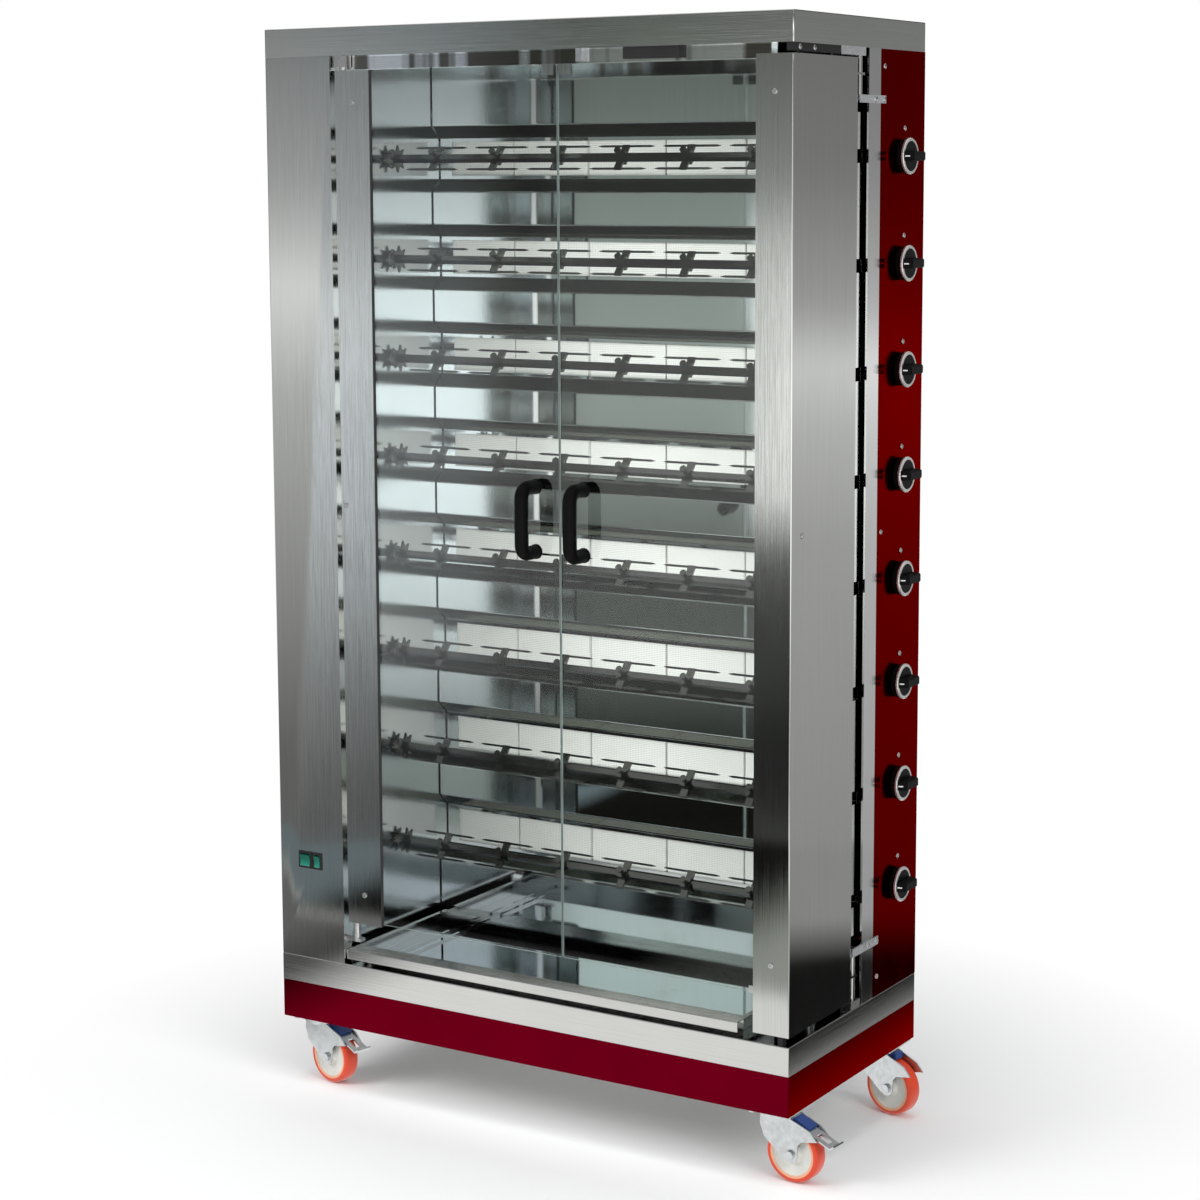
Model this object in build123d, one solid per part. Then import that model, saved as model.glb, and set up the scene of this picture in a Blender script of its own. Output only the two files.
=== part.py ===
from build123d import *
import math
import os

# Gas rotisserie on castors, in millimetres. Z is up, the front faces -Y.
# Pieces are drawn about the middle of the body's footprint on the floor and are moved
# together at the end, so that the origin lies under the middle of the overall box.

# Body
body_width = 1054.0
body_depth = 486.0
castor_height = 125.0
plinth_height = 70.0
band_height = 50.0
cabin_height = 1630.0
roof_height = 50.0
sheet = 1.5
plinth_sheet = 2.0
fit_gap = 0.3

# Chassis channel and the pads that carry the castors
channel_flange = 40.0
channel_wall = 3.0
pad_length = 130.0
pad_width = 110.0

# Left drive cabinet and cooking chamber
cabinet_front_width = 143.0
cabinet_return = 21.0
left_wall_inset = 127.0
right_wall_inset = 49.0
right_wall_front_inset = 38.0

# Spits, burners and taps are stacked at one pitch
spit_count = 8
spit_pitch = 181.0
lowest_spit_height = 186.0
spit_y = -40.0

# Spit
spit_square = 11.0
spit_turn = -39.0
journal_radius = 5.0
journal_length = 22.0
fork_count = 6
fork_pitch = 130.0
first_fork_x = -300.0
fork_span = 49.0
fork_strip_width = 14.0
fork_strip_thickness = 4.0
fork_hub = 18.0
fork_hub_length = 16.0
prong_reach = 57.0
prong_radius = 2.0
prong_tip = 9.0
thumb_radius = 6.0
thumb_length = 13.0
thumb_head = 4.0
square_clearance = 0.1

# Spit drive
shaft_radius = 8.0
shaft_length = 100.0
running_clearance = 0.05
socket_hub_radius = 12.0
socket_depth = 15.0
star_points = 8
star_outer_radius = 24.5
star_inner_radius = 13.5
star_thickness = 4.0
sprocket_teeth = 15
sprocket_tip_radius = 30.7
sprocket_root_radius = 26.0
sprocket_width = 6.0
chain_width = 8.0
chain_thickness = 5.0
chain_plane_near = 57.5
chain_plane_step = 14.0
bush_radius = 20.0
bush_length = 38.0
spigot_radius = 12.0
saddle_length = 20.0
saddle_half_width = 14.0
saddle_drop = 20.0

# Gearmotor on the lowest shaft
gearbox_width = 36.0
gearbox_depth = 84.0
gearbox_height = 100.0
motor_radius = 32.0
motor_length = 130.0
fan_cover_radius = 33.0
fan_cover_length = 24.0
motor_shelf_width = 60.0
motor_shelf_thickness = 12.0

# Corrugated reflector behind the spits
reflector_y = 88.0
niche_depth = 25.0
niche_back_height = 76.0
niche_slope_height = 23.3
reflector_foot_gap = 31.0

# Burners
plate_length = 160.0
plate_pitch = 162.0
plates_per_burner = 5
plate_height = 66.0
plate_thickness = 13.0
plate_inset = 1.7
burner_window_height = 62.0
burner_window_margin = 11.0
burner_body_height = 72.0
burner_body_depth = 55.5
burner_wall = 3.0
duct_height = 24.0
duct_depth = 35.0
inlet_flange_thickness = 5.0
inlet_flange_width = 80.0
inlet_flange_height = 26.0

# Gas taps, manifold and flame probes
knob_y = 155.4
tap_radius = 12.0
tap_length = 28.5
stem_radius = 4.0
stem_depth = 12.5
injector_radius = 4.0
manifold_x = 503.0
manifold_y = 190.0
manifold_radius = 9.0
manifold_bore = 7.0
manifold_stub_radius = 6.0
manifold_stub_length = 15.0
tap_port_radius = 5.0
inlet_height = 55.0
inlet_thread_radius = 10.48
inlet_thread_length = 22.0
probe_radius = 1.5
probe_drop = 30.0
probe_y = 106.0
probe_reach = 93.0
probe_bend = 6.0

# Knobs
knob_gap = 0.5
knob_base_radius = 29.0
knob_base_height = 16.0
knob_ring_radius = 31.0
knob_ring_depth = 4.0
knob_ring_inner_radius = 25.5
knob_bar_width = 17.0
knob_bar_length = 56.0
knob_bar_height = 16.0
pointer_width = 2.0
pointer_proud = 0.6

# Red control panel and trim strip on the right side
trim_front_y = 26.0
trim_width = 43.7
panel_front_y = 70.0
panel_return = 8.0
trim_hem = 3.5

# Folded shield of the right wall, seen between the door column and the trim strip
shield_inset = 10.0
shield_y = -12.0
shield_width = 54.0
shield_bottom = 125.0
shield_top_gap = 105.0
shield_port_y = 2.0
shield_port_width = 20.0
shield_port_height = 23.0

# Doors
seam_x = 86.0
seam_gap = 3.0
glass_thickness = 5.0
glass_bottom = 85.0
glass_top_gap = 25.0
rail_clearance = 3.0
left_strip_width = 73.0
left_strip_gap = 11.0
left_strip_bottom = 80.0
strip_return = 10.5
glass_lap_left = 45.0
column_front_width = 67.0
column_side_depth = 226.0
column_bottom = 16.0
column_top_gap = 17.0
column_return = 12.5
glass_lap_right = 18.0

# Door pivots
left_pivot_inset = 13.0
left_pivot_depth = 8.0
left_pin_radius = 4.0
pivot_block_length = 24.5
pivot_block_depth = 12.5
pivot_block_height = 13.0
pin_engagement = 11.0
right_pivot_inset = 8.0
right_pivot_y = 5.0
rod_radius = 5.0
ear_thickness = 4.0
strap_front = 17.0
strap_rear = 79.0
strap_thickness = 3.0
upper_strap_drop = 77.0
upper_strap_height = 13.0
lower_strap_rise = 94.0
lower_strap_height = 15.0
rod_past_ear = 1.5
foot_plate_height = 13.0
top_block_length = 90.0

# Door handles
handle_offset = 48.0
handle_reach = 43.0
grip_radius = 12.0
handle_height = 111.0
handle_centre = 844.5
handle_bend = 16.0
rosette_radius = 13.0
rosette_thickness = 3.0
stud_radius = 4.0
nut_radius = 8.0
nut_thickness = 5.0

# Drip tray
tray_left_gap = 1.5
tray_width = 810.5
tray_front_inset = 5.0
tray_length = 388.0
tray_height = 25.7
tray_front_flange = 36.0
tray_side_flange = 8.0
tray_lip = 17.7
tray_rib_width = 6.0
tray_rib_height = 4.0

# Rocker switches on the drive cabinet
switch_height = 183.5
wide_switch_x = 57.8
wide_switch_width = 29.5
narrow_switch_x = 85.0
narrow_switch_width = 20.0
switch_frame_height = 31.0
switch_frame_thickness = 2.0
switch_border = 4.0
switch_body_depth = 25.0
switch_sill = 3.0
rocker_pivot_depth = 3.0
rocker_half_height = 10.5
rocker_proud = 8.0
rocker_waist = 5.5
rocker_tilt = 7.0
rocker_pin_radius = 1.5
rocker_pin_length = 0.6

# Castors
castor_x = 480.0
castor_y = 190.0
castor_turns = [-12.0, -4.0, -12.0, -12.0]
castor_trail = 36.0
wheel_radius = 50.0
wheel_width = 30.0
hub_radius = 41.0
axle_radius = 5.0
castor_plate_length = 90.0
castor_plate_width = 84.0
castor_plate_thickness = 4.0
castor_bolt_x = 64.0
castor_bolt_y = 60.0
castor_bolt_radius = 4.0
swivel_radius = 29.0
swivel_height = 8.0
dust_ring_radius = 33.0
dust_ring_height = 6.0
leg_thickness = 3.0
leg_gap = 2.0
leg_foot_radius = 13.0
fork_nose = 22.0
fork_arm = 52.0
fork_crown_height = 5.0
pedal_length = 84.0
pedal_width = 32.0
pedal_thickness = 3.0
pedal_tip = 11.0
pedal_slot_length = 24.0
pedal_slot_width = 12.0
pedal_pivot_x = 34.0
pedal_pivot_height = 109.0
pedal_slope = 25.0
pedal_pin_radius = 3.0
brake_pad_length = 36.0
brake_pad_height = 5.0
dust_cap_length = 20.0
dust_cap_width = 20.0
dust_cap_height = 12.0

# Screws, gland and rear vents
screw_head_radius = 4.6
screw_head_height = 2.2
screw_shank_radius = 2.0
screw_shank_length = 5.0
screw_slot = 1.2
screw_hole_clearance = 0.2
gland_x = -470.0
gland_height = 90.0
gland_flange_radius = 14.0
gland_flange_thickness = 5.0
gland_body_radius = 10.0
gland_reach = 19.0
gland_bore_radius = 4.5
gland_inner_length = 13.0
vent_rows = 6
vent_columns = 4
vent_length = 120.0
vent_height = 8.0
vent_pitch = 26.0

# Places worked out from the sizes above
x_right = body_width / 2
x_left = -x_right
y_back = body_depth / 2
y_front = -y_back
z_base = castor_height
z_band = z_base + plinth_height
z_deck = z_band + band_height
z_roof = z_deck + cabin_height
z_top = z_roof + roof_height
x_panel_edge = x_left + cabinet_front_width
x_left_wall = x_left + left_wall_inset
x_right_wall = x_right - right_wall_inset
spit_heights = [z_deck + lowest_spit_height + spit_pitch * n for n in range(spit_count)]
x_strip_left = x_panel_edge + left_strip_gap
x_strip_right = x_strip_left + left_strip_width
x_column_left = x_right - column_front_width
y_glass = y_front + sheet
z_glass_bottom = z_deck + glass_bottom
z_glass_top = z_roof - glass_top_gap
x_left_pivot = x_strip_left + left_pivot_inset
y_left_pivot = y_front + left_pivot_depth
x_right_pivot = x_right - right_pivot_inset
y_column_rear = y_front + column_side_depth
z_column_bottom = z_deck + column_bottom
z_column_top = z_roof - column_top_gap
z_switch = z_deck + switch_height
y_niche = reflector_y + niche_depth
y_burner = y_niche + sheet
x_plates = x_left_wall + plate_inset - 0.7
x_window_right = x_plates + plate_pitch * (plates_per_burner - 1) + plate_length
x_burner_right = x_window_right + 14.0
y_duct = y_burner + 10.5
knob_reach = knob_gap + knob_base_height + knob_bar_height
y_handle = y_front - handle_reach
pedal_reach = castor_x + pedal_pivot_x + pedal_length * math.cos(math.radians(pedal_slope)) + pedal_tip / 2
origin_x = (max(x_right + knob_reach, pedal_reach) + x_left - screw_head_height) / 2
origin_y = (y_handle - grip_radius + y_back + inlet_thread_length) / 2


def block(x0, x1, y0, y1, z0, z1):
    middle = Pos((x0 + x1) / 2, (y0 + y1) / 2, (z0 + z1) / 2)
    return middle * Box(x1 - x0, y1 - y0, z1 - z0)


def rod_x(x0, x1, y, z, radius):
    return Pos((x0 + x1) / 2, y, z) * Rot(0, 90, 0) * Cylinder(radius, x1 - x0)


def rod_y(y0, y1, x, z, radius):
    return Pos(x, (y0 + y1) / 2, z) * Rot(90, 0, 0) * Cylinder(radius, y1 - y0)


def rod_z(z0, z1, x, y, radius):
    return Pos(x, y, (z0 + z1) / 2) * Cylinder(radius, z1 - z0)


def facing(x, y, z, direction):
    return Plane(origin=(x, y, z), z_dir=direction).location


def screw(x, y, z, direction):
    head = Pos(0, 0, screw_head_height / 2) * Cylinder(screw_head_radius, screw_head_height)
    head = fillet(head.edges().group_by(Axis.Z)[-1], screw_head_height * 0.4)
    shank = Pos(0, 0, -screw_shank_length / 2) * Cylinder(screw_shank_radius, screw_shank_length)
    slot = Pos(0, 0, screw_head_height) * Box(screw_head_radius * 1.5, screw_slot, screw_slot)
    return facing(x, y, z, direction) * (head + shank - slot)


def screw_hole(x, y, z, direction):
    radius = screw_shank_radius + screw_hole_clearance
    return facing(x, y, z, direction) * Cylinder(radius, 2 * screw_shank_length + 4)


def drilled(plate, places):
    for place in places:
        plate = plate - screw_hole(*place)
    return plate


# Base
def base_plinth():
    wall = block(x_left, x_right, y_front, y_back, z_base, z_band)
    wall -= block(x_left + plinth_sheet, x_right - plinth_sheet, y_front + plinth_sheet,
                  y_back - plinth_sheet, z_base, z_band - plinth_sheet)
    inner = plinth_sheet + channel_flange / 2
    wall -= block(x_left + inner, x_right - inner, y_front + inner, y_back - inner, z_base, z_band)
    return [wall]


def castor_places():
    return [(side * castor_x, end * castor_y) for end in (-1, 1) for side in (-1, 1)]


def castor_bolt_places(x, y):
    return [(x + sx * castor_bolt_x / 2, y + sy * castor_bolt_y / 2) for sx in (-1, 1) for sy in (-1, 1)]


def chassis_frame():
    x = x_right - plinth_sheet
    y = y_back - plinth_sheet
    top = z_band - plinth_sheet
    low = z_base + channel_wall
    high = top - channel_wall
    front = block(-x, x, -y, channel_flange - y, z_base, top)
    front -= block(-x - 1, x + 1, channel_wall - y, y, low, high)
    for end in (-1, 1):
        pad_x = end * (x - pad_length / 2)
        front += block(pad_x - pad_length / 2, pad_x + pad_length / 2, -y, pad_width - y, z_base, low)
    for cx, cy in castor_places()[:2]:
        for bx, by in castor_bolt_places(cx, cy):
            front -= rod_z(z_base - 1, low + 1, bx, by, castor_bolt_radius + screw_hole_clearance)
    reach = y - channel_flange - fit_gap
    side = block(-x, channel_flange - x, -reach, reach, z_base, top)
    side -= block(channel_wall - x, x, -y, y, low, high)
    reach = y - pad_width - fit_gap
    for y0, y1 in ((-y, -reach), (reach, y)):
        side -= block(-x - 1, x, y0, y1, z_base, low + fit_gap)
    # the frame is the same after half a turn
    half_turn = Rot(0, 0, 180)
    return [front, side, half_turn * front, half_turn * side]


def base_deck():
    deck = block(x_left, x_right, y_front, y_back, z_band, z_deck)
    deck -= block(x_left + sheet, x_right - sheet, y_front + sheet, y_back - sheet, z_band, z_deck - sheet)
    return [deck]


# Roof
def roof_canopy():
    roof = block(x_left, x_right, y_front, y_back, z_roof, z_top)
    roof -= block(x_left + sheet, x_right - sheet, y_front + sheet, y_back - sheet, z_roof, z_top - sheet)
    return [roof]


y_rail = y_front + 17.0
rail_height = glass_top_gap - rail_clearance


def ceiling_panel():
    edge = sheet + fit_gap / 2
    plate = block(x_left + edge, x_right - edge, y_front + edge, y_back - edge, z_roof, z_roof + sheet)
    rail = block(x_panel_edge, x_right_wall, y_rail, y_rail + sheet, z_roof - rail_height, z_roof)
    foot = block(x_panel_edge, x_right_wall, y_rail, y_rail + 20, z_roof - rail_height - sheet,
                 z_roof - rail_height)
    return [plate + rail + foot]


# Casing
def left_cover_screws():
    heights = [z_deck + 35, (z_deck + z_roof) / 2, z_roof - 35]
    return [(x_left, y, z, (-1, 0, 0)) for y in (y_front + 25, y_back - 25) for z in heights]


def left_cabinet_cover():
    front = block(x_left, x_panel_edge, y_front, y_front + sheet, z_deck, z_roof)
    side = block(x_left, x_left + sheet, y_front, y_back, z_deck, z_roof)
    edge = block(x_panel_edge - sheet, x_panel_edge, y_front, y_front + cabinet_return, z_deck, z_roof)
    cover = front + side + edge
    for centre, width in switch_sizes():
        half = width / 2 - switch_sill
        half_height = switch_frame_height / 2 - switch_sill
        cover -= block(centre - half, centre + half, y_front - 1, y_front + 5,
                       z_switch - half_height, z_switch + half_height)
    for row in range(vent_rows):
        z = z_deck + 120 + vent_pitch * row
        cover -= block(x_left - 1, x_left + 5, 60, 60 + vent_length, z, z + vent_height)
    return [drilled(cover, left_cover_screws())]


def inner_left_wall():
    y0 = y_front + cabinet_return
    wall = block(x_left_wall - sheet, x_left_wall, y0, y_back - sheet, z_deck, z_roof)
    wall += block(x_left_wall - sheet, x_panel_edge, y0, y0 + sheet, z_deck, z_roof)
    for z in spit_heights:
        wall -= rod_x(x_left_wall - 5, x_left_wall + 5, spit_y, z, spigot_radius + screw_hole_clearance)
    return [wall]


def inner_right_wall():
    wall = block(x_right_wall, x_right_wall + sheet, y_front + right_wall_front_inset, y_back - sheet,
                 z_deck, z_roof)
    x_shield = x_right - shield_inset
    z0 = z_deck + shield_bottom
    z1 = z_roof - shield_top_gap
    wall += block(x_right_wall, x_shield, shield_y, shield_y + sheet, z0, z1)
    wall += block(x_shield - sheet, x_shield, shield_y, shield_y + shield_width, z0, z1)
    clear = fit_gap
    for z in spit_heights:
        wall -= block(x_right_wall - 5, x_right_wall + 5, y_duct - clear, y_duct + duct_depth + clear,
                      z - duct_height / 2 - clear, z + duct_height / 2 + clear)
        wall -= rod_x(x_right_wall - 5, x_right_wall + 5, probe_y, z - probe_drop,
                      probe_radius + screw_hole_clearance)
        wall -= block(x_shield - 5, x_shield + 5, shield_port_y, shield_port_y + shield_port_width,
                      z - shield_port_height / 2, z + shield_port_height / 2)
    return [wall]


def rear_cover_screws():
    heights = [z_deck + 30, (z_deck + z_roof) / 2, z_roof - 30]
    return [(x, y_back, z, (0, 1, 0)) for x in (x_left + 20, x_right - 90) for z in heights]


def rear_cover():
    cover = block(x_left + sheet, x_right - panel_return - fit_gap, y_back - sheet, y_back, z_deck, z_roof)
    for column in range(vent_columns):
        for row in range(vent_rows):
            x = (column - vent_columns / 2) * (vent_length + 40) + 20
            z = z_roof - 90 - vent_pitch * row
            cover -= block(x, x + vent_length, y_back - 5, y_back + 5, z - vent_height, z)
    cover -= rod_y(y_back - 5, y_back + 5, manifold_x, z_deck + inlet_height, inlet_thread_radius + 0.5)
    cover -= rod_y(y_back - 5, y_back + 5, gland_x, z_deck + gland_height, gland_body_radius + fit_gap)
    return [drilled(cover, rear_cover_screws())]


def control_panel_screws():
    y = panel_front_y + 13.5
    heights = [z_deck + 35.5, z_deck + 817.5, z_roof - 28.5]
    edge = [(x_right, y, z, (1, 0, 0)) for z in heights]
    return edge + [(x_right, knob_y + 8, z + 47, (1, 0, 0)) for z in spit_heights]


def red_control_panel():
    panel = block(x_right - sheet, x_right, panel_front_y, y_back, z_deck, z_roof)
    panel += block(x_right - trim_hem, x_right, panel_front_y, panel_front_y + sheet, z_deck, z_roof)
    panel += block(x_right - panel_return, x_right, y_back - sheet, y_back, z_deck, z_roof)
    for z in spit_heights:
        panel -= rod_x(x_right - 5, x_right + 5, knob_y, z, stem_radius + 2)
    bolts = [(x_right, right_pivot_y + strap_rear - 7, z, (1, 0, 0)) for z in strap_heights()]
    return [drilled(panel, control_panel_screws() + bolts)]


def side_trim_strip():
    strip = block(x_right - sheet, x_right, trim_front_y, trim_front_y + trim_width, z_deck, z_roof)
    strip += block(x_right - trim_hem, x_right, trim_front_y, trim_front_y + sheet, z_deck, z_roof)
    bolts = [(x_right, right_pivot_y + 40, z, (1, 0, 0)) for z in strap_heights()]
    return [drilled(strip, bolts)]


def reflector_panel(z, low, high):
    half = niche_back_height / 2
    outer = half + niche_slope_height
    face = [(reflector_y, low), (reflector_y, z - outer), (y_niche, z - half), (y_niche, z + half),
            (reflector_y, z + outer), (reflector_y, high)]
    outline = face + [(y + sheet, z) for y, z in reversed(face)]
    # the outline lies in a plane whose local axes are world Y and Z
    section = Plane.YZ * make_face(Polyline(*outline, close=True))
    panel = Pos(x_left_wall, 0, 0) * extrude(section, x_right_wall - x_left_wall)
    return panel - block(x_left_wall + burner_window_margin, x_window_right, y_niche - 2, y_niche + 4,
                         z - burner_window_height / 2, z + burner_window_height / 2)


def rear_reflector():
    joints = [(a + b - fit_gap) / 2 for a, b in zip(spit_heights, spit_heights[1:])]
    lows = [z_deck + reflector_foot_gap] + [z + fit_gap for z in joints]
    return [reflector_panel(*place) for place in zip(spit_heights, lows, joints + [z_roof])]


# Burners and gas
x_flange = x_right_wall + sheet


def duct_hollow(z):
    half = duct_height / 2 - burner_wall
    return block(x_window_right - 10, x_flange, y_duct + burner_wall, y_duct + duct_depth - burner_wall,
                 z - half, z + half)


def burner_head(z):
    x0 = x_plates
    high = burner_body_height / 2
    y1 = y_burner + burner_body_depth
    head = block(x0, x_burner_right, y_burner, y1, z - high, z + high)
    y_ledge = y_burner + plate_inset + plate_thickness
    half = plate_height / 2 + screw_hole_clearance
    head -= block(x0, x_window_right + 2, y_burner, y_ledge, z - half, z + half)
    head -= block(x0 + 8, x_window_right - 8, y_ledge - 1, y1 - burner_wall, z - half + 6, z + half - 6)
    return head - duct_hollow(z)


def burner_inlet(z):
    half = duct_height / 2
    duct = block(x_burner_right, x_flange, y_duct, y_duct + duct_depth, z - half, z + half)
    flange_y1 = y_duct + duct_depth + 5
    flange = block(x_flange, x_flange + inlet_flange_thickness, flange_y1 - inlet_flange_width, flange_y1,
                   z - inlet_flange_height / 2, z + inlet_flange_height / 2)
    inlet = duct + flange - duct_hollow(z)
    return inlet - rod_x(x_flange - 1, x_flange + inlet_flange_thickness + 1, knob_y, z, injector_radius + 0.2)


def burner_bodies():
    return [burner_head(z) for z in spit_heights] + [burner_inlet(z) for z in spit_heights]


def ceramic_plates():
    y0 = y_burner + plate_inset
    plates = []
    for z in spit_heights:
        for n in range(plates_per_burner):
            x0 = x_plates + screw_hole_clearance + plate_pitch * n
            plates.append(block(x0, x0 + plate_length - 0.4, y0, y0 + plate_thickness,
                                z - plate_height / 2, z + plate_height / 2))
    return plates


x_tap_back = x_right - sheet - tap_length
x_injector = x_right_wall + sheet + 1.0


def gas_tap(z):
    body = rod_x(x_tap_back, x_right - sheet, knob_y, z, tap_radius)
    body += rod_x(x_injector, x_tap_back, knob_y, z, injector_radius)
    body += rod_y(knob_y, manifold_y - manifold_stub_length, manifold_x, z, tap_port_radius)
    body -= rod_x(x_right - sheet - stem_depth, x_right, knob_y, z, stem_radius + running_clearance)
    return body


def flame_probe(z):
    x0 = x_tap_back + 3
    low = z - probe_drop
    route = FilletPolyline((x0, knob_y - 3, z - tap_radius - 0.1), (x0, knob_y - 3, low),
                           (x0, probe_y, low), (x_right_wall - probe_reach, probe_y, low), radius=probe_bend)
    return sweep(Plane(route @ 0, z_dir=route % 0) * Circle(probe_radius), path=route)


def gas_taps():
    return [gas_tap(z) for z in spit_heights] + [flame_probe(z) for z in spit_heights]


def gas_manifold():
    z0 = z_deck + inlet_height
    z1 = spit_heights[-1] + 30
    y_end = y_back + inlet_thread_length
    pipe = rod_z(z0 - manifold_radius, z1, manifold_x, manifold_y, manifold_radius)
    pipe += rod_y(manifold_y, y_end, manifold_x, z0, manifold_radius)
    pipe += rod_y(y_back, y_end, manifold_x, z0, inlet_thread_radius)
    for z in spit_heights:
        pipe += rod_y(manifold_y - manifold_stub_length, manifold_y, manifold_x, z, manifold_stub_radius)
    pipe -= rod_z(z0, z1 - 4, manifold_x, manifold_y, manifold_bore)
    pipe -= rod_y(manifold_y, y_end + 1, manifold_x, z0, manifold_bore)
    for z in spit_heights:
        pipe -= rod_y(manifold_y - manifold_stub_length - 1, manifold_y, manifold_x, z, tap_port_radius - 2)
    return [pipe]


# Spits and their drive
def star_face():
    corners = []
    for n in range(2 * star_points):
        radius = star_outer_radius if n % 2 == 0 else star_inner_radius
        angle = math.pi * n / star_points
        corners.append((radius * math.cos(angle), radius * math.sin(angle)))
    return make_face(Polyline(*corners, close=True))


def sprocket_face():
    corners = []
    step = 2 * math.pi / sprocket_teeth
    for n in range(sprocket_teeth):
        for share, radius in ((0.0, sprocket_root_radius), (0.3, sprocket_root_radius),
                              (0.55, sprocket_tip_radius), (0.75, sprocket_tip_radius)):
            angle = step * (n + share)
            corners.append((radius * math.cos(angle), radius * math.sin(angle)))
    return make_face(Polyline(*corners, close=True))


def chain_plane(n):
    return x_left_wall - chain_plane_near - chain_plane_step * (n % 2)


def drive_shaft(n):
    x_end = x_left_wall - shaft_length
    x_face = x_left_wall + 0.5 + socket_depth
    along = Rot(0, 90, 0)
    shaft = rod_x(x_end, x_left_wall + 0.5, 0, 0, shaft_radius)
    shaft += rod_x(x_left_wall + 0.5, x_face, 0, 0, socket_hub_radius)
    shaft += Pos(x_face - star_thickness, 0, 0) * along * extrude(star_face(), star_thickness)
    loops = [m for m in (n - 1, n) if 0 <= m < spit_count - 1]
    for m in loops:
        x0 = chain_plane(m) - sprocket_width / 2
        shaft += Pos(x0, 0, 0) * along * extrude(sprocket_face(), sprocket_width)
    hole = spit_square + 2 * square_clearance
    socket = block(x_face - socket_depth + 3, x_face + 1, -hole / 2, hole / 2, -hole / 2, hole / 2)
    return shaft - Rot(spit_turn, 0, 0) * socket


def spit_fork():
    half = fork_span / 2
    strip = Box(fork_strip_width, fork_strip_thickness, fork_span + 2 * prong_radius)
    hub = Box(fork_hub_length, fork_hub, fork_hub)
    fork = hub + strip
    for side in (-1, 1):
        prong = rod_x(-prong_reach + prong_tip, prong_reach - prong_tip, 0, side * half, prong_radius)
        for end in (-1, 1):
            tip = Rot(0, 90 * end, 0) * Cone(prong_radius, 0.4, prong_tip)
            prong += Pos(end * (prong_reach - prong_tip / 2), 0, side * half) * tip
        fork += prong
    fork += rod_y(-fork_hub / 2 - thumb_length + thumb_head, -fork_hub / 2, 0, 0, thumb_radius / 2)
    fork += rod_y(-fork_hub / 2 - thumb_length, -fork_hub / 2 - thumb_length + thumb_head, 0, 0, thumb_radius)
    hole = spit_square + 2 * square_clearance
    return fork - Box(fork_hub_length + 2, hole, hole)


def spit(n, fork):
    x0 = x_left_wall + 4.5
    x1 = x_right_wall - saddle_length - 6
    bar = Pos((x0 + x1) / 2, 0, 0) * Box(x1 - x0, spit_square, spit_square)
    bar += rod_x(x1, x1 + journal_length, 0, 0, journal_radius)
    pieces = [bar]
    for m in range(fork_count):
        pieces.append(Pos(first_fork_x + fork_pitch * m, 0, 0) * fork)
    place = Pos(0, spit_y, spit_heights[n])
    return [place * Rot(spit_turn, 0, 0) * piece for piece in pieces] + [place * drive_shaft(n)]


def drive_chains():
    inner = 2 * (sprocket_tip_radius + fit_gap)
    outer = inner + 2 * chain_thickness
    loop_face = SlotCenterToCenter(spit_pitch, outer) - SlotCenterToCenter(spit_pitch, inner)
    loops = []
    for n in range(spit_count - 1):
        z = (spit_heights[n] + spit_heights[n + 1]) / 2
        place = Pos(chain_plane(n) - chain_width / 2, spit_y, z)
        loops.append(place * Rot(0, 90, 0) * extrude(loop_face, chain_width))
    return loops


def spit_bearings():
    pieces = []
    for z in spit_heights:
        bush = rod_x(x_left_wall - sheet - bush_length, x_left_wall - sheet, spit_y, z, bush_radius)
        bush += rod_x(x_left_wall - sheet, x_left_wall + 0.3, spit_y, z, spigot_radius)
        bush -= rod_x(x_left_wall - 100, x_left_wall + 10, spit_y, z, shaft_radius + running_clearance)
        pieces.append(bush)
        x0 = x_right_wall - saddle_length
        saddle = block(x0, x_right_wall, spit_y - saddle_half_width, spit_y + saddle_half_width,
                       z - saddle_drop, z + 10)
        radius = journal_radius + running_clearance
        saddle -= rod_x(x0 - 1, x_right_wall - sheet, spit_y, z, radius)
        saddle -= block(x0 - 1, x_right_wall - sheet, spit_y - radius, spit_y + radius, z, z + 11)
        pieces.append(saddle)
    return pieces


def gearmotor():
    z = spit_heights[0]
    x0 = x_left + sheet + 2.5
    x1 = x0 + gearbox_width
    y0 = spit_y - gearbox_depth / 2
    y1 = spit_y + gearbox_depth / 2
    gearbox = block(x0, x1, y0, y1, z - gearbox_height / 2, z + gearbox_height / 2)
    gearbox -= rod_x(x_left_wall - shaft_length - 0.3, x1 + 1, spit_y, z, shaft_radius + running_clearance)
    x_motor = x0 + motor_radius + 1
    motor = rod_y(y1, y1 + motor_length, x_motor, z, motor_radius)
    fan = rod_y(y1 + motor_length, y1 + motor_length + fan_cover_length, x_motor, z, fan_cover_radius)
    shelf_y = y1 + motor_length / 2
    shelf = block(x_motor, x_left_wall - sheet, shelf_y - motor_shelf_width / 2,
                  shelf_y + motor_shelf_width / 2, z - motor_shelf_thickness / 2, z + motor_shelf_thickness / 2)
    return [gearbox + motor + shelf, fan]


# Doors
def left_strip_screws():
    x = (x_strip_left + x_strip_right) / 2
    return [(x, y_front, z_deck + 135, (0, -1, 0)),
            (x_strip_left + 9.5, y_front, z_deck + 843, (0, -1, 0)),
            (x, y_front, z_roof - 80, (0, -1, 0))]


def strike_plate(x0, x1):
    return block(x0, x1, y_front, y_glass, z_glass_top - 17, z_glass_top + 1)


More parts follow.
